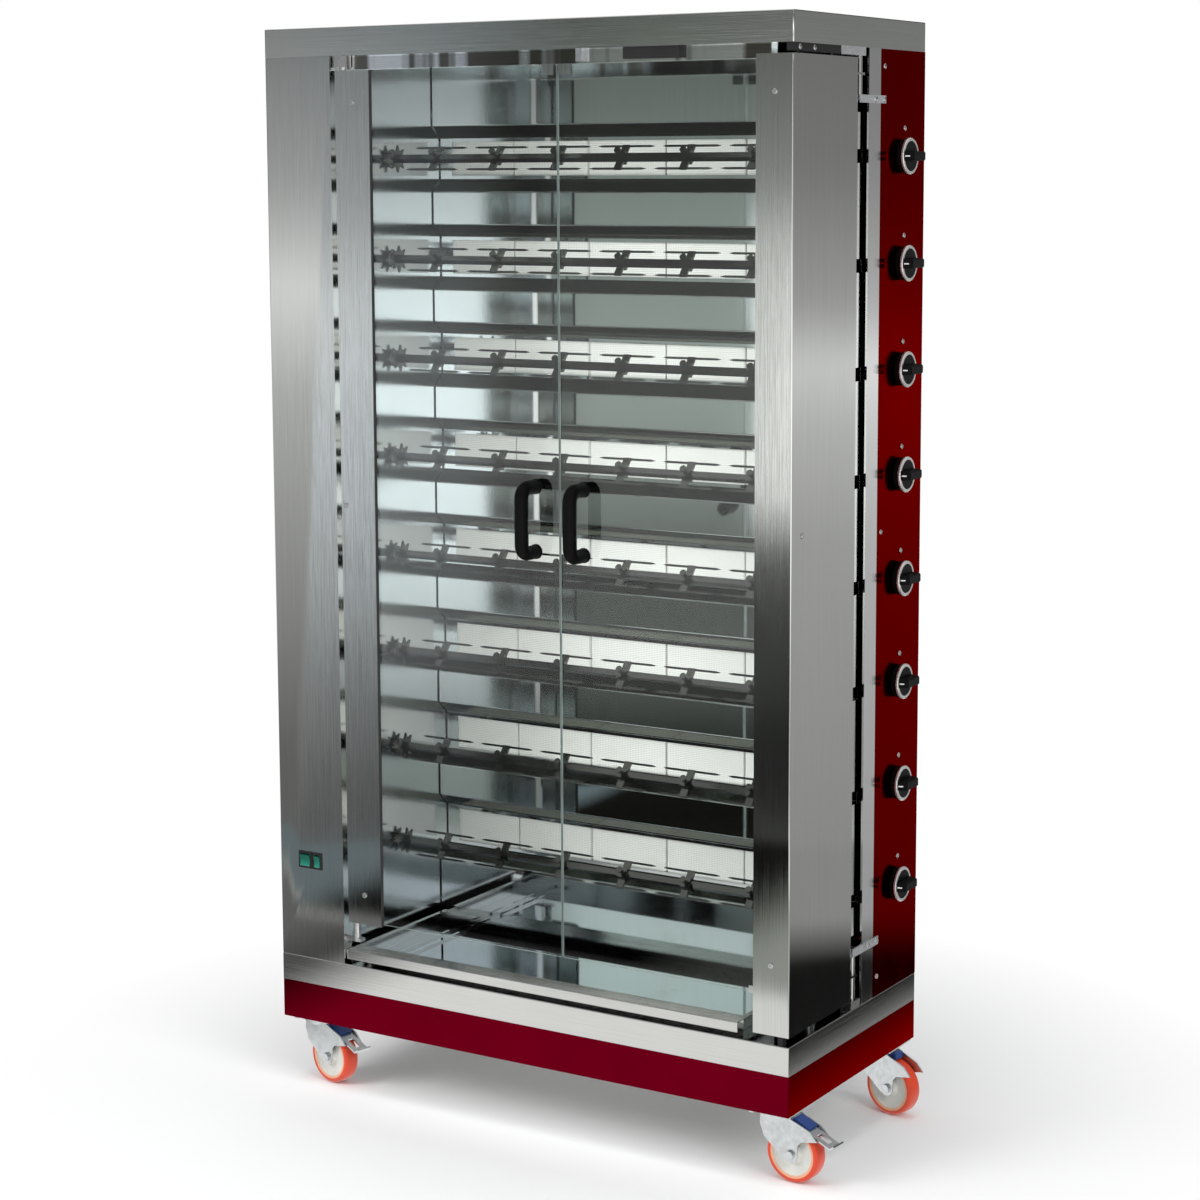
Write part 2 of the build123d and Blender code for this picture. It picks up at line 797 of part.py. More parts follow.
def left_door_strip():
    z0 = z_deck + left_strip_bottom
    strip = block(x_strip_left, x_strip_right, y_front, y_glass, z0, z_glass_top)
    strip += block(x_strip_left, x_strip_left + sheet, y_front, y_glass + strip_return, z0, z_glass_top)
    strip = drilled(strip, left_strip_screws())
    for z in (z0, z_glass_top - pivot_block_height):
        strip += block(x_strip_left + sheet, x_strip_left + sheet + pivot_block_length, y_glass,
                       y_glass + pivot_block_depth, z, z + pivot_block_height)
    for z in (z0 - 1, z_glass_top - pivot_block_height - 1):
        strip -= rod_z(z, z + pivot_block_height + 2, x_left_pivot, y_left_pivot,
                       left_pin_radius + running_clearance)
    plate = strike_plate(seam_x - 30, seam_x - 7)
    return [strip, plate] + [screw(*place) for place in left_strip_screws()]


def handle_heights():
    middle = z_deck + handle_centre
    return [middle - handle_height / 2, middle + handle_height / 2]


def glass_pane(x0, x1, handle_x, screws):
    pane = block(x0, x1, y_glass, y_glass + glass_thickness, z_glass_bottom, z_glass_top)
    for z in handle_heights():
        pane -= rod_y(y_glass - 1, y_glass + glass_thickness + 1, handle_x, z, stud_radius + fit_gap)
    return drilled(pane, screws)


def left_door_glass():
    x0 = x_strip_right - glass_lap_left
    return [glass_pane(x0, seam_x - seam_gap / 2, seam_x - handle_offset, left_strip_screws())]


def right_door_glass():
    x1 = x_column_left + glass_lap_right
    screws = [(x, y, z, way) for x, y, z, way in column_screws() if way[1] < 0 and x < x1 + 5]
    return [glass_pane(seam_x + seam_gap / 2, x1, seam_x + handle_offset, screws)]


def door_handle(x):
    low, high = handle_heights()
    y0 = y_glass - rosette_thickness
    route = FilletPolyline((x, y0, low), (x, y_handle, low), (x, y_handle, high), (x, y0, high),
                           radius=handle_bend)
    grip = sweep(Plane(route @ 0, z_dir=route % 0) * Circle(grip_radius), path=route)
    pieces = [grip]
    for z in (low, high):
        stud = rod_y(y0, y_glass, x, z, rosette_radius)
        stud += rod_y(y_glass, y_glass + glass_thickness, x, z, stud_radius)
        nut = rod_y(y_glass + glass_thickness, y_glass + glass_thickness + nut_thickness, x, z, nut_radius)
        pieces += [stud + nut]
    return pieces


def column_screws():
    x = (x_column_left + x_right) / 2
    return [(x, y_front, z_deck + 135, (0, -1, 0)),
            (x_right, y_front + 38, z_deck + 845, (1, 0, 0)),
            (x, y_front, z_roof - 76, (0, -1, 0))]


def ear_heights():
    return [z_deck + 55, z_roof - 45]


def right_door_column():
    y1 = y_column_rear
    column = block(x_column_left, x_right, y_front, y_glass, z_column_bottom, z_column_top)
    column += block(x_right - sheet, x_right, y_front, y1, z_column_bottom, z_column_top)
    column += block(x_right - sheet - column_return, x_right, y1 - sheet, y1, z_column_bottom, z_column_top)
    column += block(x_column_left - 8, x_column_left, y_front, y_glass, z_glass_bottom - 2, z_glass_bottom + 10)
    column = drilled(column, column_screws())
    reach = rod_radius + 5
    for z in ear_heights():
        column += block(x_right_pivot - reach, x_right - sheet, y1 - sheet, right_pivot_y + rod_radius + 2,
                        z, z + ear_thickness)
    low, high = strap_heights()
    past = ear_thickness / 2 + rod_past_ear
    column += rod_z(z_deck + 2, low + past, x_right_pivot, right_pivot_y, rod_radius)
    column += rod_z(high - past, z_roof - 2, x_right_pivot, right_pivot_y, rod_radius)
    plate = strike_plate(seam_x + 3, seam_x + 29)
    return [column, plate] + [screw(*place) for place in column_screws()]


def strap_heights():
    return [z_deck + lower_strap_rise + lower_strap_height / 2,
            z_roof - upper_strap_drop - upper_strap_height / 2]


def hinge_strap(z, height):
    y0 = right_pivot_y - strap_front
    y1 = right_pivot_y + strap_rear
    strap = block(x_right, x_right + strap_thickness, y0, y1, z - height / 2, z + height / 2)
    ear = block(x_right_pivot - 10, x_right + strap_thickness, right_pivot_y - 15, right_pivot_y + 13,
                z - ear_thickness / 2, z + ear_thickness / 2)
    strap = strap + ear
    strap -= rod_z(z - height, z + height, x_right_pivot, right_pivot_y, rod_radius + running_clearance)
    bolts = [(x_right + strap_thickness, right_pivot_y + d, z, (1, 0, 0)) for d in (40, strap_rear - 7)]
    return [drilled(strap, bolts)]


def hinge_brackets():
    low, high = strap_heights()
    pieces = hinge_strap(low, lower_strap_height) + hinge_strap(high, upper_strap_height)
    radius = rod_radius + running_clearance
    top = block(x_right_pivot - 13, x_right - 1, right_pivot_y + 10 - top_block_length, right_pivot_y + 10,
                z_column_top + 3.5, z_roof)
    foot = block(x_right_pivot - 13, x_right - 1, right_pivot_y - 17, right_pivot_y + 17, z_deck,
                 z_deck + foot_plate_height)
    top -= rod_z(z_column_top, z_roof - 1.7, x_right_pivot, right_pivot_y, radius)
    foot -= rod_z(z_deck + 1.7, z_deck + foot_plate_height + 1, x_right_pivot, right_pivot_y, radius)
    x0 = x_left_pivot - 16
    x1 = x_left_pivot + 12
    y0 = y_left_pivot - 6
    y1 = y_left_pivot + 7
    ledge_z = z_deck + left_strip_bottom - 35
    hanger = block(x0, x1, y0, y1, z_roof - 19, z_roof)
    hanger += rod_z(z_glass_top - pin_engagement, z_roof - 19, x_left_pivot, y_left_pivot, left_pin_radius)
    hanger += rod_z(z_glass_top + fit_gap, z_roof - 19, x_left_pivot, y_left_pivot, left_pin_radius + 3)
    ledge = block(x_panel_edge, x1, y0, y1, ledge_z, ledge_z + 6)
    z_strip = z_deck + left_strip_bottom
    ledge += rod_z(ledge_z, z_strip + pin_engagement, x_left_pivot, y_left_pivot, left_pin_radius)
    ledge += rod_z(ledge_z, z_strip - fit_gap, x_left_pivot, y_left_pivot, left_pin_radius + 3)
    return pieces + [top, foot, hanger, ledge]


def stop_strip_screws():
    return [(x_right - 1, y_front + d, z_roof - 7, (1, 0, 0)) for d in (22, 72)]


def door_catches():
    magnet = block(seam_x + 125, seam_x + 231, y_rail - 12, y_rail, z_roof - 19, z_roof)
    catch = block(seam_x + 34, seam_x + 46, y_rail - 12, y_rail, z_roof - 21, z_roof)
    strip = block(x_right - 13, x_right - 1, y_front + 1, y_front + 162, z_column_top + 3.5, z_roof)
    bumper = block(x_right - 22, x_right - 13, y_front + 3, y_front + 16, z_deck, z_column_bottom - 1)
    return [magnet, catch, drilled(strip, stop_strip_screws()), bumper]


# Drip tray
def drip_tray():
    x0 = x_panel_edge + tray_left_gap
    x1 = x0 + tray_width
    y0 = y_front + tray_front_inset
    y1 = y0 + tray_length
    z0 = z_deck + fit_gap
    z1 = z0 + tray_height
    px0 = x0 + tray_side_flange
    px1 = x1 - tray_side_flange
    py0 = y0 + tray_front_flange
    py1 = y1 - tray_side_flange
    pan = block(px0, px1, py0, py1, z0, z1)
    rim = block(x0, x1, y0, y1, z1 - sheet, z1)
    lip = block(x0, x1, y0, y0 + sheet, z1 - tray_lip, z1)
    tray = pan + rim + lip
    tray -= block(px0 + sheet, px1 - sheet, py0 + sheet, py1 - sheet, z0 + sheet, z1)
    for d in (38, 62):
        tray += block(px0 + d, px0 + d + tray_rib_width, py0 + 20, py1 - 20, z0, z0 + sheet + tray_rib_height)
    return [tray]


# Switches
def switch_sizes():
    return [(x_left + wide_switch_x, wide_switch_width), (x_left + narrow_switch_x, narrow_switch_width)]


def switch_housings():
    pieces = []
    half_height = switch_frame_height / 2
    for centre, width in switch_sizes():
        half = width / 2
        frame = block(centre - half, centre + half, y_front - switch_frame_thickness, y_front,
                      z_switch - half_height, z_switch + half_height)
        inset = switch_sill + fit_gap
        frame += block(centre - half + inset, centre + half - inset, y_front, y_front + switch_body_depth,
                       z_switch - half_height + inset, z_switch + half_height - inset)
        wall = switch_border
        high = half_height - inset - 0.7
        frame -= block(centre - half + wall, centre + half - wall, y_front - switch_frame_thickness,
                       y_front + switch_body_depth - 3, z_switch - high, z_switch + high)
        frame -= rod_x(centre - half, centre + half, y_front + rocker_pivot_depth, z_switch,
                       rocker_pin_radius + running_clearance)
        pieces.append(frame)
    return pieces


def rocker(centre, width):
    half = width / 2 - switch_border - fit_gap
    top = rocker_half_height
    corners = [(-rocker_waist, 0), (-rocker_proud, top), (2, top - 1), (8, 4), (8, -4), (2, 1 - top),
               (-rocker_proud, -top)]
    face = Plane.YZ * make_face(Polyline(*corners, close=True))
    reach = half + fit_gap + rocker_pin_length
    solid = Pos(-half, 0, 0) * extrude(face, 2 * half) + rod_x(-reach, reach, 0, 0, rocker_pin_radius)
    return [Pos(centre, y_front + rocker_pivot_depth, z_switch) * Rot(rocker_tilt, 0, 0) * solid]


# Knobs
def knob(z):
    x0 = x_right + knob_gap
    x1 = x0 + knob_base_height
    x_ring = x1 - knob_ring_depth
    base = rod_x(x0, x_ring, 0, 0, knob_base_radius)
    base = chamfer(base.edges().group_by(Axis.X)[0], 2)
    face = rod_x(x_ring, x1, 0, 0, knob_ring_inner_radius - fit_gap)
    half = knob_bar_length / 2
    bar = block(x1, x1 + knob_bar_height, -half, half, -knob_bar_width / 2, knob_bar_width / 2)
    bar = chamfer(bar.edges().filter_by(Axis.Z).group_by(Axis.X)[-1], 6)
    grip = base + face + bar + rod_x(x_right - sheet - stem_depth + 0.5, x0, 0, 0, stem_radius)
    ring = rod_x(x_ring, x1, 0, 0, knob_ring_radius) - rod_x(x_ring, x1, 0, 0, knob_ring_inner_radius)
    pointer = block(x1 + 2, x1 + knob_bar_height - 6, -half - pointer_proud, -half,
                    -pointer_width / 2, pointer_width / 2)
    return [Pos(0, knob_y, z) * piece for piece in (grip, ring, pointer)]


# Castors
z_crown = castor_height - castor_plate_thickness - swivel_height


def castor_frame(n):
    x, y = castor_places()[n]
    return Pos(x, y, 0) * Rot(0, 0, castor_turns[n])


def castor_plates():
    pieces = []
    for x, y in castor_places():
        plate = Pos(x, y, castor_height - castor_plate_thickness / 2) * Box(
            castor_plate_length, castor_plate_width, castor_plate_thickness)
        for bx, by in castor_bolt_places(x, y):
            plate -= rod_z(castor_height - 10, castor_height + 1, bx, by, castor_bolt_radius + screw_hole_clearance)
        plate += rod_z(z_crown + fit_gap, castor_height - castor_plate_thickness, x, y, swivel_radius - 5)
        pieces.append(plate)
    return pieces


def fork_leg():
    outline = [(-fork_nose, z_crown), (-fork_nose - 2, z_crown - 18), (-fork_nose + 7, z_crown - 41),
               (castor_trail - leg_foot_radius, wheel_radius - 9),
               (castor_trail + leg_foot_radius, wheel_radius - 4),
               (castor_trail + 14, wheel_radius + 18), (castor_trail + 21, wheel_radius + 26),
               (castor_trail + fork_arm, wheel_radius + 32), (castor_trail + fork_arm - 14, wheel_radius + 47),
               (pedal_pivot_x, z_crown)]
    face = Plane.XZ * make_face(Polyline(*outline, close=True))
    leg = extrude(face, leg_thickness / 2, both=True)
    return leg + rod_y(-leg_thickness / 2, leg_thickness / 2, castor_trail, wheel_radius, leg_foot_radius)


def castor_fork(n):
    half = wheel_width / 2 + leg_gap
    outer = half + leg_thickness
    fork = rod_z(z_crown - fork_crown_height, z_crown, 0, 0, swivel_radius)
    fork += block(-fork_nose, fork_nose, -outer, outer, z_crown - fork_crown_height, z_crown)
    leg = fork_leg()
    for side in (-1, 1):
        fork += Pos(0, side * (half + leg_thickness / 2), 0) * leg
    fork += rod_y(-outer - 5, outer + 5, castor_trail, wheel_radius, axle_radius)
    fork += rod_y(-outer - 5, -outer, castor_trail, wheel_radius, axle_radius + 3)
    fork += rod_y(outer, outer + 5, castor_trail, wheel_radius, axle_radius + 3)
    ring = rod_z(z_crown, z_crown + dust_ring_height, 0, 0, dust_ring_radius)
    ring -= rod_z(z_crown - 1, z_crown + dust_ring_height + 1, 0, 0, swivel_radius - 4)
    pieces = [fork, ring]
    if castor_places()[n][1] > 0:
        cap = block(0, swivel_radius + dust_cap_length, -dust_cap_width / 2, dust_cap_width / 2,
                    z_crown + 2 - dust_cap_height, z_crown + 2)
        pieces.append(cap - rod_z(z_base - 50, z_base, 0, 0, dust_ring_radius))
    return [castor_frame(n) * piece for piece in pieces]


def castor_wheel(n):
    half = wheel_width / 2
    bore = axle_radius + running_clearance
    tread = rod_y(-half, half, castor_trail, wheel_radius, wheel_radius)
    tread = fillet(tread.edges(), 4)
    tread -= rod_y(-half, half, castor_trail, wheel_radius, hub_radius)
    hub = rod_y(-half, half, castor_trail, wheel_radius, hub_radius)
    hub -= rod_y(-half, -half + 4, castor_trail, wheel_radius, hub_radius - 5)
    hub -= rod_y(half - 4, half, castor_trail, wheel_radius, hub_radius - 5)
    hub += rod_y(-half - leg_gap + fit_gap, half + leg_gap - fit_gap, castor_trail, wheel_radius, 13)
    hub -= rod_y(-half - 5, half + 5, castor_trail, wheel_radius, bore)
    return [castor_frame(n) * piece for piece in (tread, hub)]


def castor_brake(n):
    outer = wheel_width / 2 + leg_gap - fit_gap
    top = pedal_thickness / 2
    pedal = block(0, pedal_length, -pedal_width / 2, pedal_width / 2, -top, top)
    slot_start = pedal_length - pedal_slot_length - 10
    pedal -= block(slot_start, slot_start + pedal_slot_length, -pedal_slot_width / 2, pedal_slot_width / 2,
                   -top - 1, top + 1)
    tip = Pos(pedal_length, 0, -top) * Rot(0, -60, 0) * block(0, pedal_tip, -pedal_width / 2, pedal_width / 2, 0,
                                                              pedal_thickness)
    pedal = pedal + tip + rod_y(-outer, outer, 0, 0, pedal_pin_radius)
    pad = block(pedal_pin_radius, brake_pad_length, -pedal_width / 2 + 2, pedal_width / 2 - 2, top,
                top + brake_pad_height)
    place = castor_frame(n) * Pos(pedal_pivot_x, 0, pedal_pivot_height) * Rot(0, pedal_slope, 0)
    return [place * pedal, place * (pad - rod_y(-outer, outer, 0, 0, pedal_pin_radius + 0.1))]


# Small parts
def cable_gland():
    z = z_deck + gland_height
    gland = rod_y(y_back, y_back + gland_flange_thickness, gland_x, z, gland_flange_radius)
    gland += rod_y(y_back, y_back + gland_reach, gland_x, z, gland_body_radius)
    gland += rod_y(y_back - gland_inner_length, y_back, gland_x, z, gland_body_radius)
    gland -= rod_y(y_back - gland_inner_length - 1, y_back + gland_reach + 1, gland_x, z, gland_bore_radius)
    return [gland]


def castor_bolt(x, y):
    low = castor_height - castor_plate_thickness
    bolt = rod_z(low, z_base + channel_wall, x, y, castor_bolt_radius)
    head = Pos(x, y, low - 2.5) * extrude(RegularPolygon(7.5, 6), 2.5, both=True)
    nut = Pos(x, y, z_base + channel_wall + 3) * extrude(RegularPolygon(7.5, 6), 3, both=True)
    return bolt + head + nut


def fasteners():
    places = left_cover_screws() + rear_cover_screws() + control_panel_screws() + stop_strip_screws()
    places += [(x_right + strap_thickness, right_pivot_y + d, z, (1, 0, 0))
               for z in strap_heights() for d in (40, strap_rear - 7)]
    pieces = [screw(*place) for place in places]
    for x, y in castor_places():
        pieces += [castor_bolt(bx, by) for bx, by in castor_bolt_places(x, y)]
    return pieces


def named_parts():
    parts = {
        "base_plinth": base_plinth(),
        "chassis_frame": chassis_frame(),
        "base_deck": base_deck(),
        "roof_canopy": roof_canopy(),
        "ceiling_panel": ceiling_panel(),
        "left_cabinet_cover": left_cabinet_cover(),
        "inner_left_wall": inner_left_wall(),
        "inner_right_wall": inner_right_wall(),
        "rear_reflector": rear_reflector(),
        "rear_cover": rear_cover(),
        "red_control_panel": red_control_panel(),
        "side_trim_strip": side_trim_strip(),
        "burner_bodies": burner_bodies(),
        "ceramic_plates": ceramic_plates(),
        "gas_taps": gas_taps(),
        "gas_manifold": gas_manifold(),
        "drive_chains": drive_chains(),
        "spit_bearings": spit_bearings(),
        "gearmotor": gearmotor(),
        "hinge_brackets": hinge_brackets(),
        "door_catches": door_catches(),
        "switch_housings": switch_housings(),
        "castor_plates": castor_plates(),
        "cable_gland": cable_gland(),
        "fasteners": fasteners(),
        "left_door_strip": left_door_strip(),
        "left_door_glass": left_door_glass(),
        "left_door_handle": door_handle(seam_x - handle_offset),
        "right_door_column": right_door_column(),
        "right_door_glass": right_door_glass(),
        "right_door_handle": door_handle(seam_x + handle_offset),
        "drip_tray": drip_tray(),
        "wide_switch_rocker": rocker(*switch_sizes()[0]),
        "narrow_switch_rocker": rocker(*switch_sizes()[1]),
    }
    fork = spit_fork()
    for n in range(spit_count):
        parts[f"spit_{n + 1}"] = spit(n, fork)
        parts[f"gas_knob_{n + 1}"] = knob(spit_heights[n])
    names = ["front_left", "front_right", "rear_left", "rear_right"]
    for n, name in enumerate(names):
        parts[f"castor_fork_{name}"] = castor_fork(n)
        parts[f"castor_wheel_{name}"] = castor_wheel(n)
        if name.startswith("front"):
            parts[f"castor_brake_{name}"] = castor_brake(n)
    return parts


os.makedirs("parts", exist_ok=True)
to_origin = Pos(-origin_x, -origin_y, 0)
for name, pieces in named_parts().items():
    export_step(Compound(children=[to_origin * piece for piece in pieces]), f"parts/{name}.step")
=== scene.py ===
import math
import bmesh
import bpy
from mathutils import Matrix, Vector


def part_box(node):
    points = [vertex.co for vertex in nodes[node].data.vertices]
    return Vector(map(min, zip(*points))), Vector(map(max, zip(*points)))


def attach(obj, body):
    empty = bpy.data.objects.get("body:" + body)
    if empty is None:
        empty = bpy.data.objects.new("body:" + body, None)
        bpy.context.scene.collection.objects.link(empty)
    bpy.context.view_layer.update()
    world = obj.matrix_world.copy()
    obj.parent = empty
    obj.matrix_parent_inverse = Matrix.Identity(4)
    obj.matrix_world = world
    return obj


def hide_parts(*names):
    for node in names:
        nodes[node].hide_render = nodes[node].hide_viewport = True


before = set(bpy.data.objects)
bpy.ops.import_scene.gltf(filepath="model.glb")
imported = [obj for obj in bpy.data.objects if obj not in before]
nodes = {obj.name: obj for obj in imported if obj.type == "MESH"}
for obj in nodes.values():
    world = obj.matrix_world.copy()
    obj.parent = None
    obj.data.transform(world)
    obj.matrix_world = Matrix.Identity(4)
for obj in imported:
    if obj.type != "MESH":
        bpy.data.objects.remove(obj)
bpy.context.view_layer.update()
scene = bpy.context.scene
print("frame loaded:", len(nodes), "CAD nodes")

cornerNames = ("front_left", "front_right", "rear_left", "rear_right")
cabinet = {
    "left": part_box("base_plinth")[0].x,
    "right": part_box("base_plinth")[1].x,
    "front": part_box("base_plinth")[0].y,
    "back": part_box("base_plinth")[1].y,
    "deck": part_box("base_deck")[1].z,
    "ceiling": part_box("roof_canopy")[0].z,
    "spits": 8,
    "spitPitch": 0.181,
    "lowestSpit": 0.186,
    "castorX": 0.48,
    "castorY": 0.19,
}
midX = (cabinet["left"] + cabinet["right"]) / 2
midY = (cabinet["front"] + cabinet["back"]) / 2


# ---- shader helpers
def link(tree, source, target):
    tree.links.new(source, target)


def feed(tree, socket, value):
    # another node's output is linked, a plain value is set
    if isinstance(value, bpy.types.NodeSocket):
        link(tree, value, socket)
    elif socket.type == "RGBA" and len(value) == 3:
        socket.default_value = (*value, 1)
    else:
        socket.default_value = value


def addNode(tree, kind, inputs=None, **settings):
    node = tree.nodes.new(kind)
    for name, value in settings.items():
        setattr(node, name, value)
    for name, value in (inputs or {}).items():
        feed(tree, node.inputs[name], value)
    return node


def objectCoords(tree, stretch):
    coords = addNode(tree, "ShaderNodeTexCoord")
    mapping = addNode(tree, "ShaderNodeMapping", {"Vector": coords.outputs["Object"], "Scale": stretch})
    return mapping.outputs["Vector"]


def splitAxes(tree, vector):
    return addNode(tree, "ShaderNodeSeparateXYZ", {"Vector": vector}).outputs


def noise(tree, stretch, detail=3.0, roughness=0.5):
    return addNode(tree, "ShaderNodeTexNoise", {
        "Vector": objectCoords(tree, stretch), "Scale": 1.0, "Detail": detail, "Roughness": roughness}).outputs["Fac"]


def cells(tree, stretch, randomness=1.0):
    return addNode(tree, "ShaderNodeTexVoronoi", {
        "Vector": objectCoords(tree, stretch), "Scale": 1.0, "Randomness": randomness})


def remap(tree, value, fromLow, fromHigh, toLow=0, toHigh=1):
    limits = {"From Min": fromLow, "From Max": fromHigh, "To Min": toLow, "To Max": toHigh}
    return addNode(tree, "ShaderNodeMapRange", {"Value": value, **limits}).outputs["Result"]


def calc(tree, operation, first, second=0.0):
    return addNode(tree, "ShaderNodeMath", {0: first, 1: second}, operation=operation).outputs["Value"]


def mixColours(tree, factor, first, second):
    return addNode(tree, "ShaderNodeMix", {0: factor, 6: first, 7: second}, data_type="RGBA").outputs[2]


def mixShaders(tree, factor, first, second):
    return addNode(tree, "ShaderNodeMixShader", {0: factor, 1: first, 2: second}).outputs["Shader"]


def shade(colour, factor):
    return tuple(min(1.0, channel * factor) for channel in colour)


def bump(tree, shader, height, strength, distance):
    node = addNode(tree, "ShaderNodeBump", {"Height": height, "Strength": strength, "Distance": distance})
    link(tree, node.outputs["Normal"], shader.inputs["Normal"])


def startMaterial(name, **constants):
    material = bpy.data.materials.new(name)
    material.use_nodes = True
    shader = material.node_tree.nodes["Principled BSDF"]
    for socket, value in constants.items():
        shader.inputs[socket.replace("_", " ")].default_value = value
    return material, material.node_tree, shader


def coat(tree, shader, colour, rough=None):
    link(tree, colour, shader.inputs["Base Color"])
    if rough is not None:
        link(tree, rough, shader.inputs["Roughness"])


# ---- finishes
def brushedSteel(name, grain, tone, rough, smudge=0.06):
    # grain "upright" runs along Z, "level" runs along X and Y, "endlong" lies along X on a flat sheet
    material, tree, shader = startMaterial(name, Metallic=1.0)
    stretch = {"upright": (1500, 1500, 5), "level": (4, 4, 1500), "endlong": (5, 1500, 1500)}[grain]
    fine = noise(tree, stretch, 2.0)
    blotch = noise(tree, (2.2, 2.2, 1.6), 4.0, 0.6)
    streaks = mixColours(tree, remap(tree, fine, 0.3, 0.7), shade(tone, 0.94), shade(tone, 1.04))
    colour = mixColours(tree, remap(tree, blotch, 0.35, 0.75, 0, smudge * 4), streaks, shade(tone, 0.8))
    wipe = calc(tree, "ADD", remap(tree, blotch, 0.3, 0.7, -0.01, 0.03), remap(tree, fine, 0.2, 0.8, -0.02, 0.02))
    coat(tree, shader, colour, calc(tree, "ADD", wipe, rough))
    bump(tree, shader, fine, 0.16, 0.0003)
    return material


def mirrorSteel(name, grain, tone, rough, wave):
    # bright-rolled sheet: clear reflections, faint roll lines, the slight waviness of thin sheet
    material, tree, shader = startMaterial(name, Metallic=1.0)
    stretch = {"upright": (700, 700, 2.5), "level": (3, 3, 900)}[grain]
    fine = noise(tree, stretch, 3.0, 0.6)
    stain = noise(tree, (5, 5, 3), 4.0, 0.65)
    lines = mixColours(tree, remap(tree, fine, 0.3, 0.7), shade(tone, 0.95), shade(tone, 1.03))
    warm = (tone[0] * 0.62, tone[1] * 0.56, tone[2] * 0.46)
    coat(tree, shader, mixColours(tree, remap(tree, stain, 0.55, 0.8, 0, 0.55), lines, warm),
         calc(tree, "ADD", remap(tree, fine, 0.2, 0.8, -0.01, 0.02), rough))
    sway = noise(tree, (7, 7, 4), 1.0, 0.3)
    bump(tree, shader, calc(tree, "MULTIPLY", sway, wave), 0.3, 0.004)
    return material


def paintedReflectionMirror(name):
    # bright rail and ceiling: painted reflection, lighter and darker patches painted along X into the colour for
    # where the bent strip mirrors the room
    material, tree, shader = startMaterial(name, Metallic=1.0)
    fine = noise(tree, (3, 3, 900), 3.0, 0.6)
    paintedReflectionPatch = noise(tree, (9, 0.2, 0.2), 3.0, 0.75)
    dark = mixColours(tree, fine, (0.16, 0.15, 0.13), (0.2, 0.19, 0.17))
    bright = mixColours(tree, fine, (0.78, 0.8, 0.8), (0.9, 0.92, 0.92))
    # painted reflection: the patch noise switches the steel colour between dark and bright
    coat(tree, shader, mixColours(tree, remap(tree, paintedReflectionPatch, 0.46, 0.54), dark, bright),
         remap(tree, fine, 0.2, 0.8, 0.06, 0.12))
    bump(tree, shader, fine, 0.1, 0.0003)
    return material


def enamel(name, tone):
    # lacquer over metal: tinted reflections, faint orange peel, rubbed dull spots
    material, tree, shader = startMaterial(name, Metallic=1.0, Specular_Tint=(1, 0, 0.03, 1))
    peel = noise(tree, (420, 420, 420), 2.0)
    wear = noise(tree, (6, 6, 4), 5.0, 0.65)
    coat(tree, shader, mixColours(tree, remap(tree, wear, 0.3, 0.75), tone, shade(tone, 0.82)),
         remap(tree, wear, 0.3, 0.75, 0.11, 0.2))
    bump(tree, shader, peel, 0.08, 0.0004)
    return material


def plainPlastic(name, tone, rough, grain, depth, specular=0.5):
    material, tree, shader = startMaterial(name, Specular_IOR_Level=specular)
    speck = noise(tree, (grain, grain, grain), 3.0, 0.6)
    dust = noise(tree, (14, 14, 14), 4.0, 0.6)
    coat(tree, shader, mixColours(tree, remap(tree, dust, 0.35, 0.75), tone, shade(tone, 1.25)),
         remap(tree, dust, 0.3, 0.75, rough, rough + 0.1))
    bump(tree, shader, speck, depth, 0.0003)
    return material


def metal(name, tone, rough, grain, depth, spangle=0.0):
    material, tree, shader = startMaterial(name, Metallic=1.0)
    speck = noise(tree, (grain, grain, grain), 4.0, 0.6)
    dull = noise(tree, (18, 18, 18), 4.0, 0.6)
    colour = mixColours(tree, remap(tree, speck, 0.3, 0.7), shade(tone, 0.86), shade(tone, 1.1))
    if spangle:
        flakes = cells(tree, (120, 120, 120))
        flake = addNode(tree, "ShaderNodeSeparateColor", {"Color": flakes.outputs["Color"]})
        colour = mixColours(tree, calc(tree, "MULTIPLY", flake.outputs["Red"], spangle), colour, shade(tone, 0.55))
    coat(tree, shader, colour, remap(tree, dull, 0.3, 0.75, rough - 0.06, rough + 0.1))
    bump(tree, shader, speck, depth, 0.0005)
    return material


def drilledCeramic(name, holeStep=0.0034):
    # honeycomb plate: rows of small holes painted darker as painted shade, off-white with scorched patches
    material, tree, shader = startMaterial(name, Roughness=0.85, Specular_IOR_Level=0.2)
    holes = cells(tree, (1 / holeStep, 1, 1 / holeStep), randomness=0.0)
    rim = remap(tree, holes.outputs["Distance"], 0.2, 0.34)
    scorch = noise(tree, (14, 14, 22), 5.0, 0.65)
    body = mixColours(tree, remap(tree, scorch, 0.55, 0.9, 0, 0.6), (0.87, 0.865, 0.845), (0.66, 0.61, 0.52))
    # the hole circles take the darker colour (0.5, 0.47, 0.4): painted shade in the holes
    coat(tree, shader, mixColours(tree, rim, (0.5, 0.47, 0.4), body))
    bump(tree, shader, rim, 0.5, 0.0012)
    return material


def castIron(name):
    material, tree, shader = startMaterial(name, Metallic=0.3, Specular_IOR_Level=0.3)
    pits = noise(tree, (260, 260, 260), 5.0, 0.7)
    rust = noise(tree, (24, 24, 24), 4.0, 0.6)
    body = mixColours(tree, remap(tree, pits, 0.3, 0.7), (0.035, 0.034, 0.033), (0.075, 0.072, 0.068))
    coat(tree, shader, mixColours(tree, remap(tree, rust, 0.6, 0.85, 0, 0.5), body, (0.12, 0.055, 0.025)),
         remap(tree, rust, 0.3, 0.7, 0.55, 0.8))
    bump(tree, shader, pits, 0.5, 0.0008)
    return material


